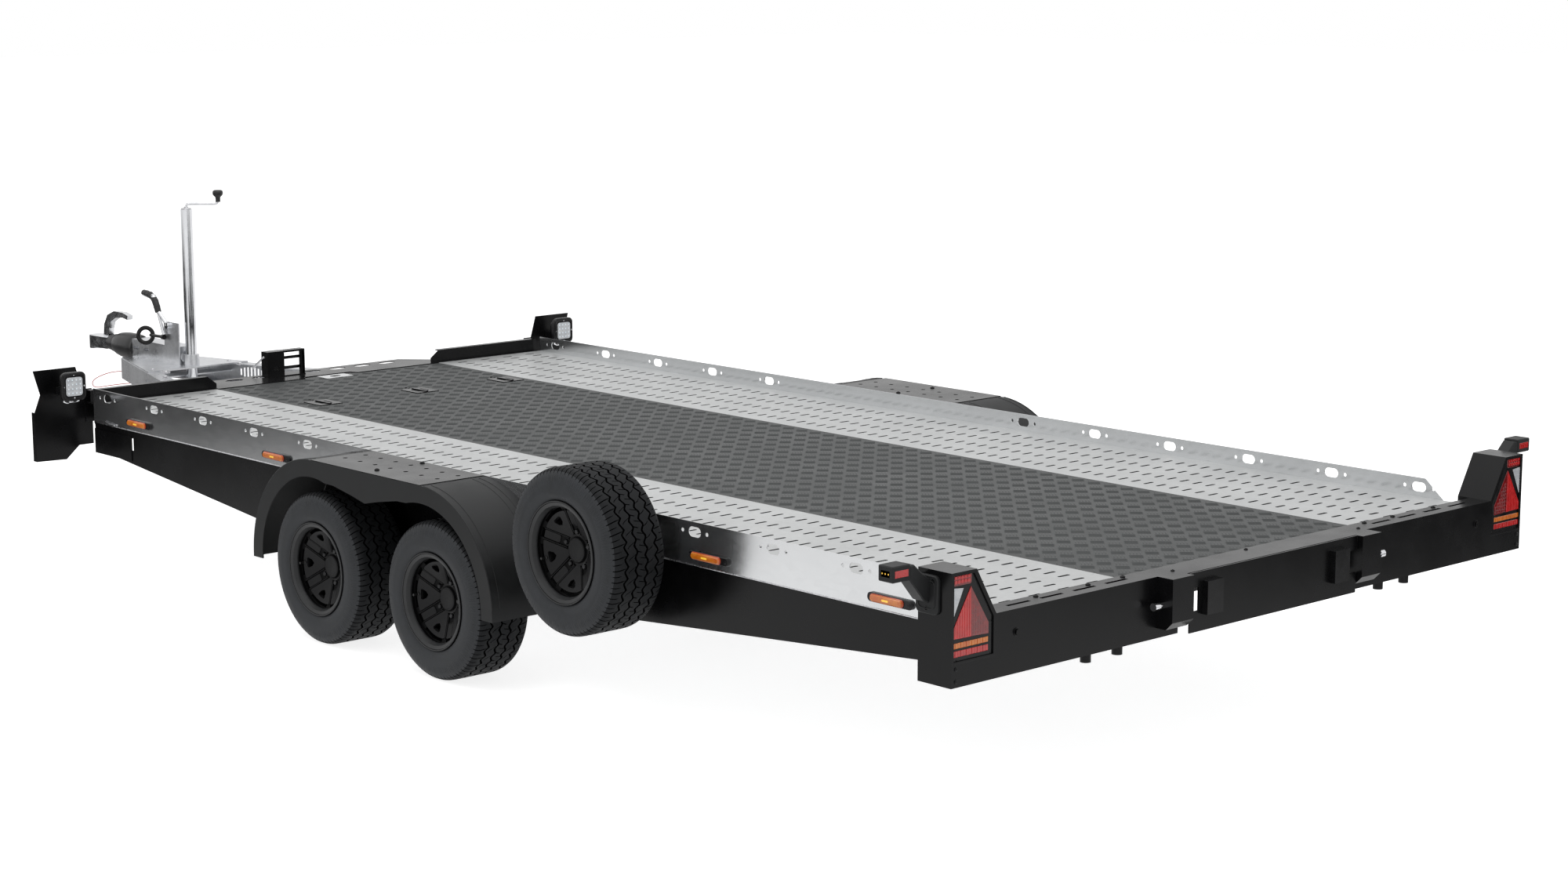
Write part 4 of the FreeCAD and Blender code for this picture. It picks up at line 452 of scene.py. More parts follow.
def addSlab(shape, outline, origin, across, up, low, high, mark=0, bevel=0.0, backBevel=0.0):
    # Plate with this outline, its thickness along across x up, its front edge cut off by the bevel
    origin, across, up = Vector(origin), Vector(across), Vector(up)
    out = across.cross(up).normalized()
    levels = [(low, insetOutline(outline, backBevel) if backBevel else outline)]
    if backBevel:
        levels.append((low + backBevel, outline))
    if bevel:
        levels.append((high - bevel, outline))
        levels.append((high, insetOutline(outline, bevel)))
    else:
        levels.append((high, outline))
    count = len(outline)
    points, faces = [], []
    for away, ring in levels:
        points += [origin + across * x + up * y + out * away for x, y in ring]
    for level in range(len(levels) - 1):
        for k in range(count):
            n = (k + 1) % count
            a = level * count
            faces.append((a + k, a + n, a + count + n, a + count + k))
    faces.append(list(range(count))[::-1])
    faces.append([(len(levels) - 1) * count + k for k in range(count)])
    addFaces(shape, points, faces, mark)


def addPlate(shape, outline, origin, across, up, way, low, high, mark=0, bevel=0.0, backBevel=0.0):
    # Plate that stands out along way, its outer edge cut off by the bevel
    if Vector(across).cross(Vector(up)).dot(Vector(way)) > 0:
        addSlab(shape, outline, origin, across, up, low, high, mark, bevel, backBevel)
    else:
        addSlab(shape, outline, origin, across, up, -high, -low, mark, backBevel, bevel)


def roundedOutline(wide, tall, corner, steps=4, middle=(0, 0)):
    outline = []
    for k, (sx, sy) in enumerate(((1, 1), (-1, 1), (-1, -1), (1, -1))):
        for j in range(steps + 1):
            angle = math.pi / 2 * (k + j / steps)
            outline.append((middle[0] + sx * (wide / 2 - corner) + corner * math.cos(angle),
                            middle[1] + sy * (tall / 2 - corner) + corner * math.sin(angle)))
    return outline


# Bolt and screw heads: distance and radius in shares of the head's radius
heads = {
    "washer": ((0.18, 1.45), (0.25, 1.36), (0.25, 0)),
    "hexagon": ((0.55, 1), (0.7, 0.86), (0.7, 0)),
    "dome": ((0.2, 1), (0.5, 0.75), (0.62, 0.35), (0.45, 0.3), (0.45, 0)),
    "turn": 0.3,
}


def addHead(shape, base, direction, size, profile, sides, mark, turn=0.0, start=0.0, sunk=0.001):
    rows = [(start - sunk, size * profile[0][1])] + [(start + size * away, size * radius) for away, radius in profile]
    addTurned(shape, base, direction, rows, sides, mark, turn)


def addBolt(shape, base, direction, size, mark=0):
    # Hexagon head on its washer
    addHead(shape, base, direction, size, heads["washer"], 20, mark)
    addHead(shape, base, direction, size, heads["hexagon"], 6, mark, heads["turn"], size * heads["washer"][-1][0],
            0.0005)


def addScrew(shape, base, direction, radius, mark=0):
    addHead(shape, base, direction, radius, heads["dome"], 14, mark)


def newPiece(name, shape, body, finishes, smooth=None, outward=True):
    data = bpy.data.meshes.new(name)
    data.from_pydata([tuple(p) for p in shape["points"]], [], shape["faces"])
    data.polygons.foreach_set("material_index", shape["marks"])
    if outward:
        work = bmesh.new()
        work.from_mesh(data)
        bmesh.ops.recalc_face_normals(work, faces=work.faces)
        work.to_mesh(data)
        work.free()
    for each in finishes:
        data.materials.append(finish[each])
    if smooth is not None:
        data.polygons.foreach_set("use_smooth", [True] * len(data.polygons))
        data.set_sharp_from_angle(angle=math.radians(smooth))
    piece = bpy.data.objects.new(name, data)
    scene.collection.objects.link(piece)
    if body:
        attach(piece, body)
    return piece


def dress(finishName, *names):
    for name in names:
        thing = nodes[name]
        for spot in thing.material_slots:
            spot.material = finish[finishName]


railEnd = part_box("rail_right")[0][1]      # Y of the side rails' rear end
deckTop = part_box("deck_centre")[1][2]


# Runways: sheet with rows of slots across it
runway = {
    "inner": 0.522,
    "outer": 1.05,
    "rear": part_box("runway_right")[0][1],
    "front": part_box("runway_right")[1][1],
    "sheet": 0.003,
    "rows": (0.608, 0.723, 0.838, 0.953),
    "rowPitch": 0.115,
    "firstSlot": 0.0225,
    "slotPitch": 0.0524,
    "slotCount": 87,
    "slotLong": 0.046,
    "slotWide": 0.0115,
    "roundSteps": 5,
    "rivetPitch": 0.3,
    "rivetStart": 0.1,
    "rivetInset": 0.012,
    "rivetSunk": 0.0005,
    "rivet": [(0, 0.006), (0.0012, 0.005), (0.0018, 0.0025), (0.0019, 0)],
}


def slotOutline(x, y):
    # Slot with round ends, long side across the trailer
    points = []
    radius, steps = runway["slotWide"] / 2, runway["roundSteps"]
    reach = runway["slotLong"] / 2 - radius
    for end in (1, -1):
        for k in range(steps + 1):
            angle = math.radians(-90 + 180 / steps * k) + (0 if end == 1 else math.pi)
            points.append((x + end * reach + radius * math.cos(angle), y + radius * math.sin(angle)))
    return points


def makeRunway(name, side):
    shape = newShape()
    top, bottom = deckTop, deckTop - runway["sheet"]
    firstEdge = railEnd + runway["firstSlot"] - 1.5 * runway["slotPitch"]
    lines = [firstEdge + runway["slotPitch"] * k for k in range(runway["slotCount"] + 1)]
    half = runway["rowPitch"] / 2
    for mid in runway["rows"]:
        for low, high in zip(lines, lines[1:]):
            # One cell of the sheet round its slot, and the slot's walls, which carry near-black painted shade
            border = [(mid - half, low), (mid + half, low), (mid + half, high), (mid - half, high)]
            hole = slotOutline(mid, (low + high) / 2)
            flat = border + hole
            cuts = tessellate_polygon([[Vector((x, y, 0)) for x, y in border],
                                       [Vector((x, y, 0)) for x, y in reversed(hole)]])
            count, around = len(flat), len(hole)
            order = list(range(4)) + [4 + k for k in reversed(range(around))]
            faces = [[order[k] for k in cut] for cut in cuts]
            faces += [[order[k] + count for k in cut] for cut in cuts]
            first = len(shape["points"])
            addFaces(shape, [(side * x, y, z) for z in (top, bottom) for x, y in flat], faces)
            for k in range(around):
                n = (k + 1) % around
                shape["faces"].append([first + 4 + k, first + 4 + n, first + 4 + n + count, first + 4 + k + count])
                shape["marks"].append(1)
    edgeIn, edgeOut = runway["rows"][0] - half, runway["rows"][-1] + half
    strips = [(runway["inner"], edgeIn, lines[0], lines[-1]), (edgeOut, runway["outer"], lines[0], lines[-1]),
              (runway["inner"], runway["outer"], runway["rear"], lines[0]),
              (runway["inner"], runway["outer"], lines[-1], runway["front"])]
    for x0, x1, y0, y1 in strips:
        points = [(side * x, y, z) for z in (bottom, top) for x, y in ((x0, y0), (x1, y0), (x1, y1), (x0, y1))]
        addFaces(shape, points, [(0, 3, 2, 1), (4, 5, 6, 7), (0, 1, 5, 4), (1, 2, 6, 5), (2, 3, 7, 6), (3, 0, 4, 7)])
    for k in range(int((runway["front"] - runway["rear"]) / runway["rivetPitch"])):
        y = runway["rear"] + runway["rivetStart"] + runway["rivetPitch"] * k
        for x in (runway["inner"] + runway["rivetInset"], runway["outer"] - runway["rivetInset"]):
            addTurned(shape, (side * x, y, top - runway["rivetSunk"]), (0, 0, 1), runway["rivet"], 12)
    piece = newPiece(name, shape, "trailer", ["runwayZinc", "slotEdge"])
    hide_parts("runway_right" if side > 0 else "runway_left")


makeRunway("runwayRight", 1)
makeRunway("runwayLeft", -1)
print("runways made")


# Tread plate: groups of raised bars, turned by a right angle from cell to cell
tread = {
    "half": 0.522,
    "cell": 0.0483,
    "start": (0.1704, 0.6843),
    "barLong": 0.045,
    "barWide": 0.0048,
    "barHigh": 0.0011,
    "barPitch": 0.0096,
    "barCount": 4,
    "barTip": 0.004,
    "ridgeTip": 0.005,
    "sunk": 0.0003,
    "bedLong": 5.0,
    "edge": 0.012,
    "cellMargin": 0.001,
    "barMargin": 0.002,
    # A bar's faces, over the six points of its foot and the two of its ridge
    "faces": [(5, 4, 3, 2, 1, 0), (1, 2, 7, 6), (4, 5, 6, 7), (0, 1, 6), (5, 0, 6), (2, 3, 7), (3, 4, 7)],
}


def makeTreadBars():
    shape = newShape()
    u, v = Vector((1, 1)).normalized(), Vector((1, -1)).normalized()
    start = Vector((tread["start"][0], tread["start"][1] + railEnd))
    rear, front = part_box("deck_centre")[0][1] + tread["edge"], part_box("deck_centre")[1][1] - tread["edge"]
    reach = int(tread["bedLong"] / tread["cell"])
    half, wide, tip = tread["barLong"] / 2, tread["barWide"] / 2, tread["barTip"]
    flat = [(-half, 0), (tip - half, -wide), (half - tip, -wide), (half, 0), (half - tip, wide), (tip - half, wide)]

    def onPlate(spot, margin):
        return abs(spot.x) <= tread["half"] - margin and rear < spot.y < front

    for i, j in product(range(-reach, reach), repeat=2):
        middle = start + (u * i + v * j) * tread["cell"]
        if not onPlate(middle, tread["cellMargin"]):
            continue
        along, across = (u, v) if (i + j) % 2 == 0 else (v, u)
        for k in range(tread["barCount"]):
            place = middle + across * (k - (tread["barCount"] - 1) / 2) * tread["barPitch"]
            if not all(onPlate(place + along * s * half, tread["barMargin"]) for s in (-1, 1)):
                continue
            foot = [place + along * a + across * b for a, b in flat]
            ridge = [place + along * (s * (half - tread["ridgeTip"])) for s in (-1, 1)]
            addFaces(shape, [(p.x, p.y, deckTop - tread["sunk"]) for p in foot]
                     + [(p.x, p.y, deckTop + tread["barHigh"]) for p in ridge], tread["faces"])
    newPiece("treadBars", shape, "trailer", ["treadPaint"], smooth=80, outward=False)


makeTreadBars()
print("tread bars made")


# Tyres: five ribs between wavy grooves, with slanting cuts across them and lugs at the shoulders
tyre = {
    "waves": 44,
    "radius": 0.249,
    "inner": (0.0915, 0.1435),
    "grooves": ((-0.0555, 0.0068), (-0.0185, 0.0046), (0.0185, 0.0046), (0.0555, 0.0068)),      # middle and swing
    "grooveShift": 0.12,
    "zigzag": (0.25, 0.65),              # corners of the outer grooves along the wave
    "grooveHalf": 0.0036,
    "grooveWall": 0.0006,
    "grooveDeep": 0.0075,
    # Cuts by their place along the wave, half width and depth
    "cuts": {"left": (0.25, 0.032, 0.0055), "long": (0.45, 0.038, 0.0065), "hook": (0.65, 0.032, 0.0055),
             "short": (0.95, 0.028, 0.005)},
    "cutFlank": 0.01,
    "ribMiddles": (-0.075, -0.037, 0.0, 0.037, 0.075),
    "slants": (-0.22, -0.75, 0.28, -0.55, -0.25),      # of the cuts, rib by rib
    "slantEnd": 0.094,
    # Columns inside the middle ribs and at the grooves' edges, with the cuts that cross them
    "inside": {1: ((-0.045, ()), (-0.037, ("hook",)), (-0.029, ("hook",))),
               2: ((-0.01, ("left",)), (-0.002, ("left",)), (0.002, ("hook",)), (0.01, ("hook",))),
               3: ((0.029, ("short",)), (0.037, ("short",)), (0.045, ()))},
    "edges": (((), ()), (("hook",), ("left",)), (("hook",), ("short",)), ((), ())),
    "shoulder": ((0.0905, 0.2385), (0.0845, 0.2445), (0.0765, 0.2478)),
    "outerRib": ((0.07, 0.2487, 0.25), (0.064, 0.249, 0.6)),      # place, radius, share of the groove's swing
    "treadStart": 0.2325,
    "lugs": (0.2185, 0.23, 0.0007),    # radii between which the wall is notched, and how deep
    "sideWall": ((0.094, 0.2325), (0.0962, 0.229), (0.0985, 0.2245), (0.1003, 0.2195), (0.1009, 0.2188),
                 (0.1022, 0.212), (0.103, 0.2), (0.1026, 0.19), (0.1036, 0.189), (0.1036, 0.1868),
                 (0.1026, 0.1858), (0.1024, 0.178), (0.1034, 0.1768), (0.1034, 0.1744), (0.102, 0.1732),
                 (0.103, 0.1722), (0.1028, 0.1706), (0.101, 0.169), (0.099, 0.158), (0.0945, 0.1543)),
    "backWall": ((0.094, 0.2325), (0.1003, 0.2195), (0.103, 0.2), (0.103, 0.1722), (0.099, 0.158),
                 (0.0945, 0.1543)),
}


def grooveWave(groove, phase):
    middle, swing = tyre["grooves"][groove]
    phase %= 1
    if groove in (1, 2):
        return middle + swing * math.sin(2 * math.pi * (phase + tyre["grooveShift"] * groove))
    # Zigzag with its corners at the cuts
    first, second = tyre["zigzag"]
    rise = second - first
    if first <= phase <= second:
        return middle + swing * (1 - 2 * (phase - first) / rise)
    return middle + swing * (2 * ((phase - second) % 1) / (1 - rise) - 1)


def tyreRows():
    # Rows across the tread, four for each cut, two of them on its floor: wave, place along it, cut
    phases = []
    for name, (middle, wide, deep) in sorted(tyre["cuts"].items(), key=lambda item: item[1][0]):
        flank = wide + tyre["cutFlank"]
        phases += [(middle - flank, ""), (middle - wide, name), (middle + wide, name), (middle + flank, "")]
    return [(period, phase, cut) for period in range(tyre["waves"]) for phase, cut in phases]


def tyreColumns():
    # Columns along the tread: place, radius, rib, groove wave they follow, cuts that cross them
    half, wall = tyre["grooveHalf"], tyre["grooveWall"]
    top, bottom = tyre["radius"], tyre["radius"] - tyre["grooveDeep"]
    columns = [(-x, radius, 0, None, ()) for x, radius in reversed(tyre["backWall"])]
    columns += [(-x, radius, 0, None, ("long", "short")) for x, radius in tyre["shoulder"]]
    columns += [(-x, radius, 0, (0, share), ("long",)) for x, radius, share in tyre["outerRib"]]
    for groove, (middle, swing) in enumerate(tyre["grooves"]):
        left, right = tyre["edges"][groove]
        columns += [(middle - half, top, groove, (groove, 1), left),
                    (middle - half + wall, bottom, groove, (groove, 1), None),
                    (middle + half - wall, bottom, groove + 1, (groove, 1), None),
                    (middle + half, top, groove + 1, (groove, 1), right)]
        columns += [(x, top, groove + 1, "between", cut) for x, cut in tyre["inside"].get(groove + 1, ())]
    columns += [(x, radius, 4, (3, share), ("long",)) for x, radius, share in reversed(tyre["outerRib"])]
    columns += [(x, radius, 4, None, ("long", "short")) for x, radius in reversed(tyre["shoulder"])]
    columns += [(x, radius, 4, None, ()) for x, radius in tyre["sideWall"]]
    x, radius = tyre["inner"]
    return columns + [(x, radius, 4, None, ()), (-x, radius, 0, None, ())]


def tyrePoint(period, phase, row, column):
    x, radius, rib, wave, crossed = column
    grooves = tyre["grooves"]
    pitch = 2 * math.pi * tyre["radius"] / tyre["waves"]
    end = tyre["slantEnd"]
    here = phase + tyre["slants"][rib] * (max(-end, min(end, x)) - tyre["ribMiddles"][rib]) / pitch
    side = x
    if wave == "between":
        left, right = grooves[rib - 1][0], grooves[rib][0]
        part = (x - left) / (right - left)
        side += (1 - part) * (grooveWave(rib - 1, here) - left) + part * (grooveWave(rib, here) - right)
    elif wave:
        side += wave[1] * (grooveWave(wave[0], here) - grooves[wave[0]][0])
    out = radius - (tyre["cuts"][row][2] if crossed and row in crossed else 0)
    low, high, notch = tyre["lugs"]
    if low < radius < high and row:
        side -= math.copysign(notch, x)
    angle = 2 * math.pi * (period + here) / tyre["waves"]
    return side, out * math.cos(angle), out * math.sin(angle)


def makeTyreMesh():
    rows, columns = tyreRows(), tyreColumns()
    wide = len(columns)
    shape = newShape()
    shape["points"] = [tyrePoint(*row, column) for row in rows for column in columns]

    def isCut(column, cut):
        return bool(cut and column[4] and cut in column[4])

    for k, (period, phase, row) in enumerate(rows):
        n = (k + 1) % len(rows)
        after = rows[n][2]
        for j in range(wide):
            m = (j + 1) % wide
            pair = columns[j], columns[m]
            deep = any(c[4] is None for c in pair) or all(isCut(c, row) or isCut(c, after) for c in pair)
            onTread = all(c[1] > tyre["treadStart"] for c in pair)
            shape["faces"].append([k * wide + j, k * wide + m, n * wide + m, n * wide + j])
            # Mark 2 gives grooves and cuts their painted shade
            shape["marks"].append(2 if deep else 1 if onTread else 0)
    return shape


def wheelPieces(kind):
    # CAD nodes of this kind with their middle and the body that carries them
    for name in sorted(n for n in nodes if n.startswith(kind + "_")) + ["spare_" + kind]:
        low, high = (Vector(corner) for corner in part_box(name))
        yield name, (low + high) / 2, "trailer" if name.startswith("spare") else name.replace(kind, "wheel")


def shareMesh(meshes, key, name, build, finishes, smooth):
    # One mesh for several alike pieces
    if key not in meshes:
        piece = newPiece(name, build(), None, finishes, smooth=smooth)
        meshes[key] = piece.data
        return piece
    piece = bpy.data.objects.new(name, meshes[key])
    scene.collection.objects.link(piece)
    return piece


def joinWords(name):
    # CAD name in one word, each part with a capital
    return name.replace("_", " ").title().replace(" ", "")


tyreMeshes = {}
for name, middle, body in wheelPieces("tyre"):
    piece = shareMesh(tyreMeshes, "tyre", joinWords(name) + "Tread", makeTyreMesh,
                      ["tyreRubber", "treadRubber", "grooveRubber"], 38)
    piece.matrix_world = Matrix.Translation(middle) @ Matrix.Rotation(math.pi if middle.x > 0 else 0, 4, "Z")
    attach(piece, body)
    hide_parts(name)


# Rims: webs, ribs, channels, nuts and cap laid on the solid's dish, around its windows
rimDetail = {
    # In mm and degrees
    "dishSlope": (42, 25, 138, 70),      # radius and height at the dish's two ends
    "dishFlat": 36,
    "spokes": 5,
    "webSide": 19.8,                     # half width between two webs
    "web": (44, 120.5),
    "webCorner": (2.5, 2),
    "hole": [(85, 0), (91, -10.5), (103, -16.5), (107.5, -14), (108.5, 0), (107.5, 14), (103, 16.5), (91, 10.5)],
    "ribHalf": (15.0, 17.3),
    "rib": (50, 122.5),
    "ribSlant": 3,
    "floorHalf": 12.6,
    "floor": (73, 121),
    "floorCorner": (4, 3),
    "sunk": -1.2,
    "lifts": (6.0, 5.2, 3.4),            # web, rib and channel floor above the dish
    "chamfers": (1.0, 0.5, 0.9),
    "grid": (9.0, 0.37, 150),            # step, shift and reach
    "nutCircle": 54.5,
    "ring": [(100.5, 147.6), (96.6, 138.0), (86, 132.6), (83, 131.6), (80, 131.6), (80, 134.6), (96, 140), (99.8, 149)],
    "valveSpot": (115, 4),
    "spareTurn": -18,
    # In metres
    "sides": 72,
    "well": (0.006, [(0, 0.0112), (0.0085, 0.0112), (0.0085, 0.0094), (0.0046, 0.009), (0.0046, 0)]),
    "nut": (0.004, [(0, 0.008), (0.0115, 0.008), (0.0135, 0.0064), (0.0138, 0)]),
    "bead": (0.1006, 0.1512, 0.0016),
    "hub": (0.02, [(0, 0.048), (0.011, 0.048), (0.0128, 0.0462), (0.013, 0.04), (0.013, 0)]),
    "cap": (0.026, [(0, 0.0385), (0.013, 0.038), (0.015, 0.0368), (0.0165, 0.0345), (0.0168, 0.032),
                    (0.016, 0.0308), (0.016, 0.025), (0.0166, 0.019), (0.0168, 0)]),
    "valve": [(0, 0.0058), (0.004, 0.0054), (0.006, 0.0036), (0.016, 0.0034), (0.0175, 0.0042), (0.0215, 0.0042),
              (0.0225, 0.003), (0.0226, 0)],
    "across": {"road": 1.203, "spare": -1.214},
}


def dishHeight(radius):
    r0, a0, r1, a1 = rimDetail["dishSlope"]
    return a0 + (a1 - a0) * (max(radius, rimDetail["dishFlat"]) - r0) / (r1 - r0)


def addDished(shape, side, turn, outline, holes, lift, chamfer):
    # Flat plate with holes, cut into a grid and bent onto the dish; u runs outwards, v across, in mm
    mesh = bmesh.new()
    levels = [(rimDetail["sunk"], 0.0), (lift - chamfer, 0.0), (lift, chamfer)]
    rings = []
    for ring, inward in [(outline, 1)] + [(hole, -1) for hole in holes]:
        rings.append([[mesh.verts.new((u, v, z)) for u, v in (insetOutline(ring, inward * inset) if inset else ring)]
                      for z, inset in levels])
    for ring in rings:
        for lower, upper in zip(ring, ring[1:]):
            for k in range(len(lower)):
                n = (k + 1) % len(lower)
                mesh.faces.new((lower[k], lower[n], upper[n], upper[k]))
    for level in (0, -1):
        loops = [ring[level] for ring in rings]
        flat = [vert for loop in loops for vert in loop]
        for cut in tessellate_polygon([[vert.co for vert in loop] for loop in loops]):
            mesh.faces.new([flat[k] for k in cut])
    step, shift, reach = rimDetail["grid"]
    for normal in ((1, 0, 0), (0, 1, 0)):
        for k in range(int(-reach / step), int(reach / step) + 1):
            bmesh.ops.bisect_plane(mesh, geom=mesh.verts[:] + mesh.edges[:] + mesh.faces[:], dist=0.001,
                                   plane_co=Vector(normal) * (k * step + shift), plane_no=normal)
    mesh.verts.index_update()
    points = []
    for vert in mesh.verts:
        u, v, z = vert.co
        radius, angle = math.hypot(u, v), math.atan2(v, u) + turn
        points.append((side * (dishHeight(radius) + z) / 1000, radius * math.cos(angle) / 1000,
                       radius * math.sin(angle) / 1000))
    addFaces(shape, points, [[vert.index for vert in face.verts] for face in mesh.faces])
    mesh.free()


def arc(radius, start, stop, steps):
    # Points on an arc, angles in degrees
    angles = [math.radians(start + (stop - start) * k / steps) for k in range(steps + 1)]
    return [(radius * math.cos(angle), radius * math.sin(angle)) for angle in angles]


def webOutline():
    # Sector between two spokes, its outer corners cut off
    near, far = rimDetail["web"]
    short, less = rimDetail["webCorner"]
    half = 180 / rimDetail["spokes"]
    tip, corner = (half - math.degrees(math.asin(rimDetail["webSide"] / radius)) for radius in (near, far))
    first, last = (((far - short) * math.cos(math.radians(a)), (far - short) * math.sin(math.radians(a)))
                   for a in (corner, -corner))
    return arc(near, -tip, tip, 2)[::-1] + [last] + arc(far, less - corner, corner - less, 8) + [first]


def makeRimMesh(side):
    shape = newShape()
    values = rimDetail
    webLift, ribLift, floorLift = values["lifts"]
    webEdge, ribEdge, floorEdge = values["chamfers"]
    web = webOutline()
    outwards = (side, 0, 0)
    for k in range(values["spokes"]):
        turn = 2 * math.pi * k / values["spokes"]
        half = turn + math.pi / values["spokes"]
        addDished(shape, side, turn, web, [values["hole"]], webLift, webEdge)
        u0, u1 = values["rib"]
        v0, v1 = values["ribHalf"]
        for way in (-1, 1):
            rib = [(u0, way * v0), (u1, way * v0), (u1, way * v1), (u0 - values["ribSlant"], way * v1)]
            addDished(shape, side, half, rib if way > 0 else rib[::-1], [], ribLift, ribEdge)
        u0, u1 = values["floor"]
        v = values["floorHalf"]
        a, b = values["floorCorner"]
        channel = [(u0, -v + b), (u0 + a, -v), (u1 - b, -v), (u1, -v + b), (u1, v - b), (u1 - b, v), (u0 + a, v),
                   (u0, v - b)]
        addDished(shape, side, half, channel, [], floorLift, floorEdge)
        # Wheel nut in its well at the channel's inner end
        circle = values["nutCircle"] / 1000
        y, z = circle * math.cos(half), circle * math.sin(half)
        floor = side * dishHeight(values["nutCircle"]) / 1000
        sunk, profile = values["well"]
        addTurned(shape, (floor - side * sunk, y, z), outwards, profile, 20, 2)
        sunk, profile = values["nut"]
        addTurned(shape, (floor - side * sunk, y, z), outwards, profile, 6, 1, half)
    # Smooth ring inside the flange and flange bead, both in the lighter rim paint of painted light, then hub plate and
    # cap
    ring, count = values["ring"], values["sides"]
    turns = [2 * math.pi * k / count for k in range(count)]
    points = [(side * away / 1000, radius * math.cos(angle) / 1000, radius * math.sin(angle) / 1000)
              for angle in turns for away, radius in ring]
    many = len(ring)
    addFaces(shape, points, [(k * many + j, k * many + (j + 1) % many, (k + 1) % count * many + (j + 1) % many,
                              (k + 1) % count * many + j) for k in range(count) for j in range(many)], 3)
    away, radius, thick = values["bead"]
    addSweep(shape, [(side * away, radius * math.cos(angle), radius * math.sin(angle)) for angle in turns], thick, 8, 3,
             closed=True)
    for part, mark in (("hub", 0), ("cap", 4)):
        start, profile = values[part]
        addTurned(shape, (side * start, 0, 0), outwards, profile, 48, mark)
    # Valve in the first web, beyond its window
    radius, lift = values["valveSpot"]
    addTurned(shape, (side * (dishHeight(radius) + lift) / 1000, radius / 1000, 0), outwards, values["valve"], 14, 2)
    return shape


rimMeshes = {}
for name, middle, body in wheelPieces("rim"):
    spare = body == "trailer"
    side = 1 if middle.x > 0 else -1
    across = rimDetail["across"]["spare"] if spare else side * rimDetail["across"]["road"]
    piece = shareMesh(rimMeshes, side, joinWords(name) + "Webs", lambda: makeRimMesh(side),
                      ["rimFace", "nutBlack", "bellowsRubber", "rimRing", "rimFace"], 32)
    piece.matrix_world = (Matrix.Translation((across, middle.y, middle.z))
                          @ Matrix.Rotation(math.radians(rimDetail["spareTurn"]) if spare else 0, 4, "X"))
    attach(piece, body)
print("wheels made")


# Tail lamps: black mask with light cells, prisms and strips; outlines in X and Z
tailLamp = {
    "outer": 1.2587,
    "foot": 1.1037,
    "inner": 1.1763,
    "top": 0.6797,
    "shoulder": 0.5548,
    "bottom": 0.4493,
    "rear": -0.1327,
    "deep": 0.03,
    "sunk": -0.001,
    "window": (0.07, 0.032, 0.006, 3, (1.2218, 0.664)),
    "cells": (5, 2, 1.1925, 1.251, 0.6525, 0.675),
    "cellGap": (0.0016, 0.0018),
    "reflector": [(1.257, 0.644), (1.2165, 0.64), (1.256, 0.56)],
    "prisms": (9, 0.572, 0.0078, 0.0022),
    "prismEdge": (1.2555, 0.0385, 0.56, 0.08, 1.255),
    "bright": [(1.1895, 0.641), (1.2575, 0.53), (1.2575, 0.512), (1.188, 0.5105)],
    "dark": [(1.1885, 0.64), (1.187, 0.5105), (1.124, 0.508), (1.124, 0.538)],
    "ribs": (7, 1.1945, 0.0088, 0.0014, 0.514),
    "ribTop": (0.632, 0.104, 1.19, 0.0675, 0.004),
    "dots": (8, 6, 1.129, 0.0092, 0.513, 0.0112),
    "dotSize": (0.0076, 0.0094),
    "dotTop": (0.634, 1.187, 1.62, 0.014),
    "stripCells": (13, 1.1255, 1.257),
    "strips": ((0.4865, 0.5005, 3), (0.464, 0.48, 1)),
    "screws": ((1.24, 0.456), (1.115, 0.456), (1.116, 0.54)),
    "screwRadius": 0.0026,
    "edge": (0.0022, 0.0018),
}


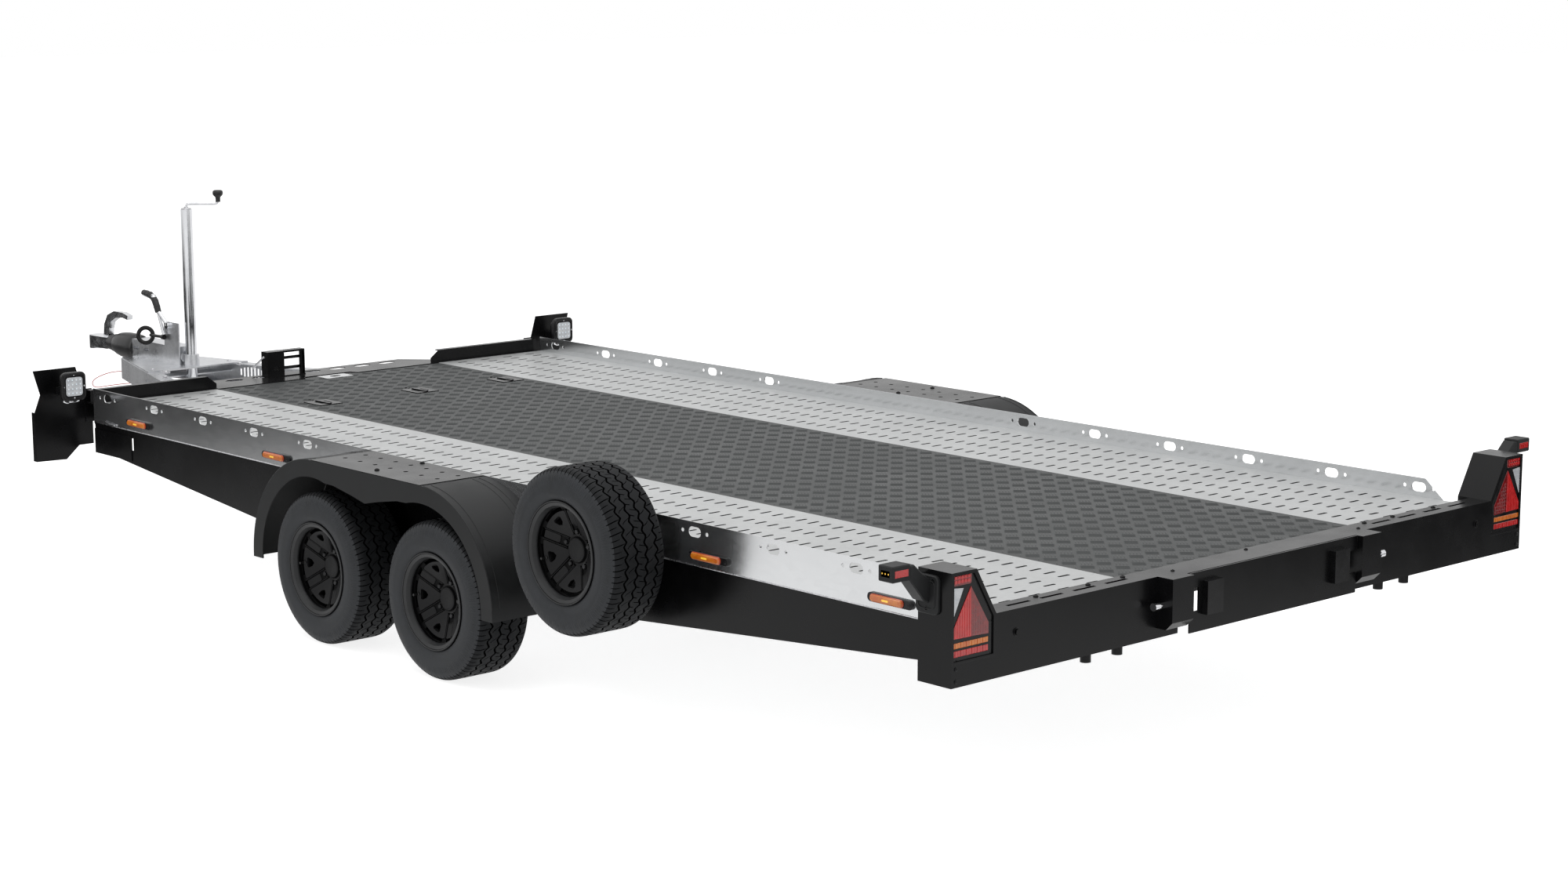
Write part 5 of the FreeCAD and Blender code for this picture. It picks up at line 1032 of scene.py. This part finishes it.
def makeTailLamps():
    shape = newShape()
    values = tailLamp
    back = railEnd + values["rear"]
    sunk = values["sunk"]
    mask = [(values["outer"], values["bottom"]), (values["outer"], values["top"]), (values["inner"], values["top"]),
            (values["foot"], values["shoulder"]), (values["foot"], values["bottom"])]
    for side in (1, -1):
        def lens(outline, low, high, mark, bevel=0.0012):
            addPlate(shape, outline, (0, back, 0), (side, 0, 0), (0, 0, 1), (0, -1, 0), low, high, mark, bevel)

        lens(mask, -values["deep"], 0, 0, 0.0015)
        lens(roundedOutline(*values["window"]), sunk, 0.0012, 2)
        columns, rows, x0, x1, z0, z1 = values["cells"]
        gapX, gapZ = values["cellGap"]
        for j in range(rows):
            for k in range(columns):
                spot = (x0 + (x1 - x0) * (k + 0.5) / columns, z0 + (z1 - z0) * (j + 0.5) / rows)
                lens(roundedOutline((x1 - x0) / columns - gapX, (z1 - z0) / rows - gapZ, 0.003, 3, spot), 0.001, 0.0032,
                     1, 0.0011)
        # Fine prisms on the clear reflector
        lens(values["reflector"], sunk, 0.0016, 4, 0.0008)
        count, first, pitch, tall = values["prisms"]
        x0, wide, z0, high, x1 = values["prismEdge"]
        for k in range(count):
            z = first + pitch * k
            start = x0 - wide * (z - z0) / high
            lens([(start + 0.0025, z), (x1, z), (x1, z + tall), (start + 0.0016, z + tall)], 0.001, 0.0026, 4, 0.0006)
        # Upright ribs on the bright half, cells on the dark half
        lens(values["bright"], sunk, 0.0022, 1, 0.0008)
        lens(values["dark"], sunk, 0.0014, 2, 0.0008)
        count, first, pitch, wide, low = values["ribs"]
        top, fall, start, run, slant = values["ribTop"]
        for k in range(count):
            x = first + pitch * k
            high = top - fall * (x - start) / run
            lens([(x, low), (x + wide, low), (x + wide, high - slant), (x, high)], 0.002, 0.0032, 1, 0.0004)
        rows, columns, x0, stepX, z0, stepZ = values["dots"]
        wide, tall = values["dotSize"]
        top, corner, slope, margin = values["dotTop"]
        for j in range(rows):
            for k in range(columns):
                x, z = x0 + stepX * k, z0 + stepZ * j
                if z <= top - (corner - x) * slope - margin:
                    lens([(x, z), (x + wide, z), (x + wide, z + tall), (x, z + tall)], 0.0012, 0.0024, 2, 0.0011)
        count, x0, x1 = values["stripCells"]
        step = (x1 - x0) / count
        for low, high, mark in values["strips"]:
            for k in range(count):
                x = x0 + step * k
                lens([(x + 0.0002, low), (x + step - 0.0006, low), (x + step - 0.0006, high), (x + 0.0002, high)],
                     sunk, 0.0026 if k % 2 else 0.002, mark, 0.0012)
        for x, z in values["screws"]:
            addScrew(shape, (side * x, back, z), (0, -1, 0), values["screwRadius"], 0)
        # Round edge of the post's sheet round the lamp
        radius, out = values["edge"]
        addSweep(shape, [(side * x, back - radius, z) for x, z in insetOutline(mask, -out)], radius, 8, 0, closed=True)
    piece = newPiece("tailLamps", shape, "trailer",
                     ["lampPlastic", "redLens", "deepRedLens", "amberLens", "clearLens"], smooth=35)
    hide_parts("tail_lamps")


makeTailLamps()


# Marker arms on the lamp posts: foot, neck and a small lamp box; places in Y and Z from the rails' rear end
marker = {
    "foot": (1.263, 1.2725),
    "footMiddle": (-0.0565, 0.62),
    "footSize": (0.081, 0.102, 0.016, 6),
    "footRim": (0.059, 0.072, 0.014, 6),
    "rimRadius": 0.0016,
    "box": ((1.34, -0.0685, 0.668), (1.404, -0.0155, 0.71)),
    "neck": [(1.266, 0.596), (1.29, 0.606), (1.342, 0.668), (1.342, 0.7035), (1.325, 0.705), (1.29, 0.674),
             (1.266, 0.66)],
    "neckDeep": (-0.0665, -0.0225),
    "redWindow": (1.372, 0.024, 0.6795, 0.6985),
    "redCells": (4, 0.0205, 0.0108, 0.0086, 0.683, 0.695),
    "amberWindow": (0.003, 0.01, 0.68, 0.6985),
    "amberDots": (3, 0.0155, 0.011, 0.6893),
    "amberDot": [(0, 0.0042), (0.0014, 0.004), (0.002, 0.0022), (0.0021, 0)],
    "screws": ((-0.079, 0.6555), (-0.056, 0.5835)),
    "screw": [(0, 0.0062), (0.0012, 0.006), (0.0012, 0.0042), (0.0004, 0.004), (0.0004, 0)],
}


def makeMarkers():
    shape = newShape()
    values = marker
    y0, z0 = values["footMiddle"][0] + railEnd, values["footMiddle"][1]
    x0, x1 = values["foot"]
    near, far = values["neckDeep"]
    (boxX0, boxY0, boxZ0), (boxX1, boxY1, boxZ1) = values["box"]
    boxY0, boxY1 = boxY0 + railEnd, boxY1 + railEnd
    for side in (1, -1):
        outwards = (side, 0, 0)
        plate = [(y + y0, z + z0) for y, z in roundedOutline(*values["footSize"])]
        addPlate(shape, plate, (0, 0, 0), (0, 1, 0), (0, 0, 1), outwards, x0, x1, 0, 0.003)
        rim = [(side * (x1 + 0.0004), y + y0, z + z0) for y, z in roundedOutline(*values["footRim"])]
        addSweep(shape, rim, values["rimRadius"], 8, 0, closed=True)
        addPlate(shape, values["neck"], (0, railEnd + near, 0), outwards, (0, 0, 1), (0, 1, 0), 0, far - near, 0, 0.003,
                 0.003)
        low, high = sorted((side * boxX0, side * boxX1))
        addBox(shape, (low, boxY0, boxZ0), (high, boxY1, boxZ1), 0, 0.0028)
        # Red window to the rear, amber window with bright dots to the side
        middle, half, bottom, top = values["redWindow"]
        middle *= side
        addBox(shape, (middle - half, boxY0 - 0.0006, bottom), (middle + half, boxY0 + 0.003, top), 1, 0.001)
        count, start, pitch, wide, bottom, top = values["redCells"]
        for k in range(count):
            x = middle - start + pitch * k
            addBox(shape, (x, boxY0 - 0.0012, bottom), (x + wide, boxY0 + 0.002, top), 1, 0.0008)
        outer = side * boxX1
        thick, inset, bottom, top = values["amberWindow"]
        low, high = sorted((outer, outer - side * thick))
        addBox(shape, (low, boxY0 + inset, bottom), (high, boxY1 - inset, top), 2, 0.0008)
        count, start, pitch, z = values["amberDots"]
        for k in range(count):
            addTurned(shape, (outer - side * 0.002, boxY0 + start + pitch * k, z), outwards, values["amberDot"], 12, 3)
        for y, z in values["screws"]:
            addTurned(shape, (side * (x1 - 0.0004), y + railEnd, z), outwards, values["screw"], 18, 4)
    piece = newPiece("markerLamps", shape, "trailer",
                     ["guardPlastic", "redLens", "amberLens", "amberGlow", "lampPlastic"], smooth=35)
    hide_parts("marker_arms")


makeMarkers()


# Side markers on the rails: black surround, amber lens with a bright middle
sideMarker = {
    "places": (0.29, 1.026, 3.281, 4.195),
    "high": 0.51,
    "face": 1.053,
    "long": 0.172,
    "base": 0.009,
    "corner": (0.0004, 0.0125),
    # Length, height, shift forward, start, end, finish and bevel of each layer
    "layers": ((0.172, 0.026, 0, 0, 0.009, 0, 0.0025), (0.128, 0.0225, 0.008, 0.008, 0.0125, 1, 0.0012),
               (0.122, 0.0195, 0.008, 0.012, 0.0172, 2, 0.0032), (0.102, 0.0085, 0.008, 0.0165, 0.0178, 2, 0.0012),
               (0.026, 0.0065, 0.008, 0.0165, 0.018, 3, 0.0006)),
    "screwInset": (0.0006, 0.0105),
    "screw": [(0, 0.0052), (0.0016, 0.005), (0.0024, 0.0036), (0.0014, 0.003), (0.0014, 0)],
}


def makeSideMarkers():
    shape = newShape()
    values = sideMarker
    less, most = values["corner"]
    sunk, inset = values["screwInset"]
    for side in (1, -1):
        for along in values["places"]:
            middle = Vector((side * values["face"], railEnd + along, values["high"]))
            for long, tall, shift, low, high, mark, bevel in values["layers"]:
                outline = [(y + shift, z) for y, z in roundedOutline(long, tall, min(tall / 2 - less, most), 6)]
                addPlate(shape, outline, middle, (0, 1, 0), (0, 0, 1), (side, 0, 0), low, high, mark, bevel)
            for end in (-1, 1):
                spot = middle + Vector((side * (values["base"] - sunk), end * (values["long"] / 2 - inset), 0))
                addTurned(shape, spot, (side, 0, 0), values["screw"], 16, 0)
    piece = newPiece("sideMarkers", shape, "trailer",
                     ["lampPlastic", "amberEdge", "amberLens", "amberGlow"], smooth=35)
    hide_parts("side_markers")


makeSideMarkers()


# Work lamps: ribbed housing, clear lens over light cells, bracket with a bolt
workLamp = {
    "middle": (1.15, 1.38, 0.626),
    # Width, height, corner, start and end ahead of the rear face, and bevel of the housing's layers
    "housing": [(0.1, 0.106, 0.02, 0.0025, 0.018, 0.004), (0.09, 0.096, 0.016, 0.016, 0.028, 0.001)],
    "ribs": (5, 0.084, 0.09, 0.014, 0.026, 0.0292, 0.006, 0.0008),
    "core": (0.06, 0.066, 0.012, 0.026, 0.056, 0),
    "rim": (0.086, 0.09, 0.016, 6),
    "rimPlace": (0.0022, 0.0024),
    "frame": (0.074, 0.076, 0.013, 0.0018, 0.006, 0.001),
    "lens": (0.068, 0.07, 0.011, 0.0012, 0.004, 0.0008),
    "cells": (4, 4, 0.94),
    "cell": [(0, 0.007), (0.0006, 0.0068), (0.0012, 0.0046), (0.0013, 0)],
    "light": [(0, 0.0028), (0.0012, 0.0024), (0.0014, 0)],
    "screws": ((0, 0.044), (0, -0.044), (0.042, 0), (-0.042, 0)),
    "bow": [(-0.03, 0.03, -0.046), (-0.03, 0.03, -0.058), (-0.018, 0.032, -0.0625), (0.018, 0.032, -0.0625),
            (0.03, 0.03, -0.058), (0.03, 0.03, -0.046)],
    "bowRadius": 0.0036,
    "bolt": ((0, 0.032, -0.06), 0.0065),
    "back": ((-0.02, 0.052, -0.04), (0.02, 0.11, -0.01)),
}


def makeWorkLamps():
    shape = newShape()
    values = workLamp
    backwards, up = (0, -1, 0), (0, 0, 1)
    for side in (1, -1):
        middle = Vector(values["middle"])
        middle.x *= side

        def plate(wide, tall, corner, near, far, bevel, mark=0):
            # Plate between two distances ahead of the lamp's rear face, its rear edge cut off
            addPlate(shape, roundedOutline(wide, tall, corner, 6), middle, (1, 0, 0), up, backwards, -far, -near, mark,
                     bevel)

        for layer in values["housing"]:
            plate(*layer)
        count, wide, tall, corner, near, far, step, bevel = values["ribs"]      # cooling ribs
        for k in range(count):
            less = step * k
            plate(wide - less, tall - less, corner, near + less, far + less, bevel)
        plate(*values["core"])
        ahead, radius = values["rimPlace"]
        rim = [middle + Vector((a, ahead, b)) for a, b in roundedOutline(*values["rim"])]
        addSweep(shape, rim, radius, 8, 0, closed=True)
        # The frame round the lens is near-black painted shade
        plate(*values["frame"], 3)
        plate(*values["lens"], 1)
        rows, columns, share = values["cells"]
        wide, tall = values["lens"][:2]
        for j in range(rows):
            for k in range(columns):
                a = (k - (columns - 1) / 2) * wide / columns * share
                b = (j - (rows - 1) / 2) * tall / rows * share
                addTurned(shape, middle + Vector((a, 0.0015, b)), backwards, values["cell"], 14, 1)
                addTurned(shape, middle + Vector((a, 0.0012, b)), backwards, values["light"], 10, 4)
        for a, b in values["screws"]:
            addScrew(shape, middle + Vector((a, 0.0025, b)), backwards, 0.0034, 2)
        # Chromed bracket under the lamp, and its foot ahead
        addSweep(shape, [middle + Vector(spot) for spot in values["bow"]], values["bowRadius"], 8, 2)
        spot, head = values["bolt"]
        addBolt(shape, middle + Vector(spot), up, head, 2)
        addBox(shape, *[middle + Vector(spot) for spot in values["back"]], 0, 0.002)
    piece = newPiece("workLamps", shape, "trailer",
                     ["lampPlastic", "clearLens", "brightChrome", "darkHole", "ledWhite"], smooth=35)
    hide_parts("work_lamps")


makeWorkLamps()
print("lamps made")


# Drawbar fittings: rubber boot, handbrake grip, plug ring and jack handle
fitting = {
    "bootHigh": 0.508,
    "boot": [(2.89, 0.044), (2.893, 0.052), (2.9, 0.0535), (2.904, 0.0525), (2.912, 0.0558), (2.935, 0.0572),
             (2.965, 0.0573), (2.995, 0.0568), (3.025, 0.0545), (3.05, 0.0505), (3.07, 0.045), (3.084, 0.0385),
             (3.09, 0.0392), (3.102, 0.0392), (3.106, 0.035), (3.135, 0.0345)],
    "lever": [(-0.062, 2.588, 0.6), (-0.062, 2.606, 0.64), (-0.062, 2.626, 0.688), (-0.062, 2.634, 0.708)],
    "grip": [(-0.062, 2.628, 0.694), (-0.062, 2.638, 0.716), (-0.062, 2.65, 0.738), (-0.062, 2.666, 0.754),
             (-0.062, 2.69, 0.762), (-0.062, 2.715, 0.765), (-0.062, 2.742, 0.7675)],
    "gripRadii": [0.0132, 0.0138, 0.014, 0.0138, 0.0138, 0.0138, 0.0132],
    "gripRing": [(-0.002, 0.0138), (-0.001, 0.0148), (0.001, 0.0148), (0.002, 0.0138)],
    "plugRing": ((-0.066, 2.734, 0.584), (-0.74, -0.66, 0.1), 0.0325, 0.009, 40),
    "plugRod": [(-0.062, 2.592, 0.59), (-0.062, 2.7, 0.588)],
    "plugNut": [(-0.004, 0.011), (0.01, 0.011), (0.012, 0.009), (0.012, 0)],
    "barRadius": 0.0068,
    "crank": [(0, 2.475, 1.136), (0, 2.475, 1.152), (0.003, 2.4723, 1.16), (0.01, 2.466, 1.162),
              (0.09, 2.3937, 1.162), (0.0975, 2.387, 1.1645), (0.1003, 2.3847, 1.172)],
    "crankRadius": 0.006,
    "collar": ((0, 2.475, 1.1375), [(0, 0.022), (0.004, 0.022), (0.006, 0.02), (0.006, 0.01), (0.011, 0.0095),
                                    (0.012, 0.0085), (0.012, 0)]),
    "knob": ((0.1003, 2.3847, 1.17), [(0, 0.0105), (0.012, 0.01), (0.02, 0.0112), (0.027, 0.0185),
                                       (0.032, 0.0215), (0.041, 0.0218), (0.046, 0.02), (0.0492, 0.015),
                                       (0.0498, 0)]),
}

# Bolts and screws on the rear beam, the deck and the drawbar, and other small parts
fixing = {
    "stripScrews": (((0.54, 0.68, 0.885), -3.186, 0.557), 0.0075),
    "beamScrews": (((-0.381, -3.227), (-0.013, -3.186), (0.462, -3.222)), 0.557, 0.006),
    "postScrews": (((1.2462, 0.4346), (1.2462, 0.402)), 0.0055),
    "postFace": -3.247,
    "postBolt": (1.0235, 0.496, 0.008),
    "deckScrews": ((-0.41, 0.03, 0.44), (0.925, 0.947), 0.546, 0.006),
    "drawbarBolts": (((-0.186, 2.481), (-0.258, 2.258), (-0.179, 2.386), (-0.065, 2.822)), 0.47, 0.0095),
    # Flush plate in the deck with its oval hole, the hole a near-black slab of painted shade: outline, low, high
    "plate": ((0.127, 0.075, 0.006, 3, (0.0065, 1.3975)), 0.544, 0.547),
    "plateHole": ((0.046, 0.022, 0.0108, 5, (0.0065, 1.3975)), 0.545, 0.54715),
    "stay": ((-0.235, 1.535, 0.63), (-0.19, 1.69, 0.566), 0.0045),
    "sillLever": ([(-1.058, 1.262, 0.484), (-1.059, 1.3, 0.486), (-1.058, 1.335, 0.492)], 0.003),
    "railEdge": (1.053, -3.109, 1.419, 0.4785, 0.0021),
}


def makeBoot():
    shape = newShape()
    addTurned(shape, (0, 0, fitting["bootHigh"]), (0, 1, 0), fitting["boot"], 40)
    piece = newPiece("couplingBoot", shape, "trailer", ["bellowsRubber"], smooth=50)
    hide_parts("bellows")


def makeHandbrakeGrip():
    shape = newShape()
    grip = fitting["grip"]
    addSweep(shape, grip, fitting["gripRadii"], 18)
    for before, spot, after in zip(grip, grip[1:], grip[2:]):
        addTurned(shape, spot, (Vector(after) - Vector(before)).normalized(), fitting["gripRing"], 18)
    addSweep(shape, fitting["lever"], fitting["barRadius"], 14, 1)
    newPiece("handbrakeGrip", shape, "trailer", ["bellowsRubber", "brightChrome"], smooth=50)


def makePlugRing():
    shape = newShape()
    middle, facing, wide, thick, count = fitting["plugRing"]
    forward, one, two = sideways(facing)
    angles = [2 * math.pi * k / count for k in range(count)]
    addSweep(shape, [Vector(middle) + (one * math.cos(angle) + two * math.sin(angle)) * wide for angle in angles],
             thick, 12, closed=True)
    addSweep(shape, fitting["plugRod"], fitting["barRadius"], 12)
    addTurned(shape, fitting["plugRod"][0], (0, 1, 0), fitting["plugNut"], 16)
    piece = newPiece("plugRing", shape, "trailer", ["lampPlastic"], smooth=50)
    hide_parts("plug_holder")


def makeJackHandle():
    shape = newShape()
    addSweep(shape, fitting["crank"], fitting["crankRadius"], 16)
    for mark, part in enumerate(("collar", "knob"), 1):
        place, profile = fitting[part]
        addTurned(shape, place, (0, 0, 1), profile, 28, mark)
    piece = newPiece("jackHandle", shape, "trailer", ["brightChrome", "boltZinc", "bellowsRubber"],
                     smooth=40)
    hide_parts("jack_crank")


def makeFixings():
    shape = newShape()
    up, backwards = (0, 0, 1), (0, -1, 0)
    (places, y, z), radius = fixing["stripScrews"]
    for x in places:
        for side in (-1, 1):
            addScrew(shape, (side * x, y, z), up, radius, 1)
    places, z, radius = fixing["beamScrews"]
    for x, y in places:
        addScrew(shape, (x, y, z), up, radius, 1)
    places, radius = fixing["postScrews"]
    across, high, head = fixing["postBolt"]
    for side in (-1, 1):
        for x, z in places:
            addScrew(shape, (side * x, fixing["postFace"], z), backwards, radius, 1)
        addBolt(shape, (side * across, fixing["postFace"], high), backwards, head, 1)
    places, rows, z, radius = fixing["deckScrews"]
    for x in places:
        for y in rows:
            addScrew(shape, (x, y, z), up, radius, 1)
    places, z, head = fixing["drawbarBolts"]
    for x, y in places:
        for side in (1, -1):
            addBolt(shape, (side * x, y, z), up, head)
    for part, mark, bevel in (("plate", 2, 0.0006), ("plateHole", 3, 0)):
        outline, low, high = fixing[part]
        addSlab(shape, roundedOutline(*outline), (0, 0, 0), (1, 0, 0), (0, 1, 0), low, high, mark, bevel)
    start, end, radius = fixing["stay"]
    addRod(shape, start, end, radius, 12, 0, 0.0006)
    path, radius = fixing["sillLever"]
    addSweep(shape, path, radius, 10, 0)
    x, y0, y1, z, radius = fixing["railEdge"]      # rolled lower edge of the side rails
    for side in (-1, 1):
        addRod(shape, (side * x, y0, z), (side * x, y1, z), radius, 8, 0, 0.0005)
    newPiece("smallFixings", shape, "trailer", ["boltZinc", "blackCoat", "railZinc", "darkHole"], smooth=35)


makeBoot()
makeHandbrakeGrip()
makePlugRing()
makeJackHandle()
makeFixings()


# Raised lines along the mudguards' arches, near-black discs of painted shade in the step plates' holes, and the plates'
# two bolts
guardLine = {
    "lines": ((1.2945, 0.0022), (1.266, 0.0017), (1.085, 0.0017), (1.11, 0.0014)),      # X and radius
    "arches": ((-1.01, -1), (-0.41, 1)),      # middle in Y and way
    "radius": 0.3578,
    "high": 0.245,
    "angles": (3, 83, 18),                      # start, reach and steps
    "holeRows": (1.1167, 1.1959),
    "holes": (7, -0.71, 0.084, 0.6028),
    "hole": [(0, 0.0079), (0.0007, 0.0079), (0.0007, 0)],
    "bolts": (((1.246, -0.709), (1.07, -0.706)), 0.605, 0.0085),
}


def makeGuardLines():
    shape = newShape()
    values = guardLine
    start, reach, steps = values["angles"]
    angles = [math.radians(start + reach * k / steps) for k in range(steps + 1)]
    for side in (-1, 1):
        for middle, way in values["arches"]:
            for x, thick in values["lines"]:
                addSweep(shape, [(side * x, middle + way * values["radius"] * math.sin(angle),
                                  values["high"] + values["radius"] * math.cos(angle)) for angle in angles], thick, 6)
    count, middle, pitch, low = values["holes"]
    places, high, radius = values["bolts"]
    for side in (-1, 1):
        for x in values["holeRows"]:
            for k in range(count):
                y = middle + pitch * (k - (count - 1) / 2)
                addTurned(shape, (side * x, y, low), (0, 0, 1), values["hole"], 20, 1)
        for x, y in places:
            addScrew(shape, (side * x, y, high), (0, 0, 1), radius, 2)
    newPiece("guardLines", shape, "trailer", ["guardPlastic", "darkHole", "blackCoat"], smooth=60)


makeGuardLines()
print("fittings made")


# Finishes of the solids that stay as they are
dress("railZinc", "rail_right", "rail_left")
dress("frameZinc", "cross_members", "drawbar_right", "drawbar_left", "drawbar_gussets", "overrun_housing", "axle_rear",
      "axle_front", "spare_carrier", "jack_leg", "jack_fork")
dress("tubeZinc", "jack_tube")
dress("blackCoat", "sill_right", "sill_left", "rear_beam", "front_beam", "deflector_right", "deflector_left",
      "winch_guide", "deck_fittings", "step_plates", "ramp_flap")
dress("treadPaint", "deck_centre")
dress("plainAluminium", "ramps")
dress("guardPlastic", "mudguard_right", "mudguard_left")
dress("lampPlastic", "plate_lamps")
dress("bellowsRubber", "jack_wheel")
dress("rimBlack", "spare_rim", *[n for n in nodes if n.startswith("rim_")])
dress("brightChrome", "handbrake_lever", "latch_bolts")
dress("zincCasting", "coupling_head")
print("solids dressed")
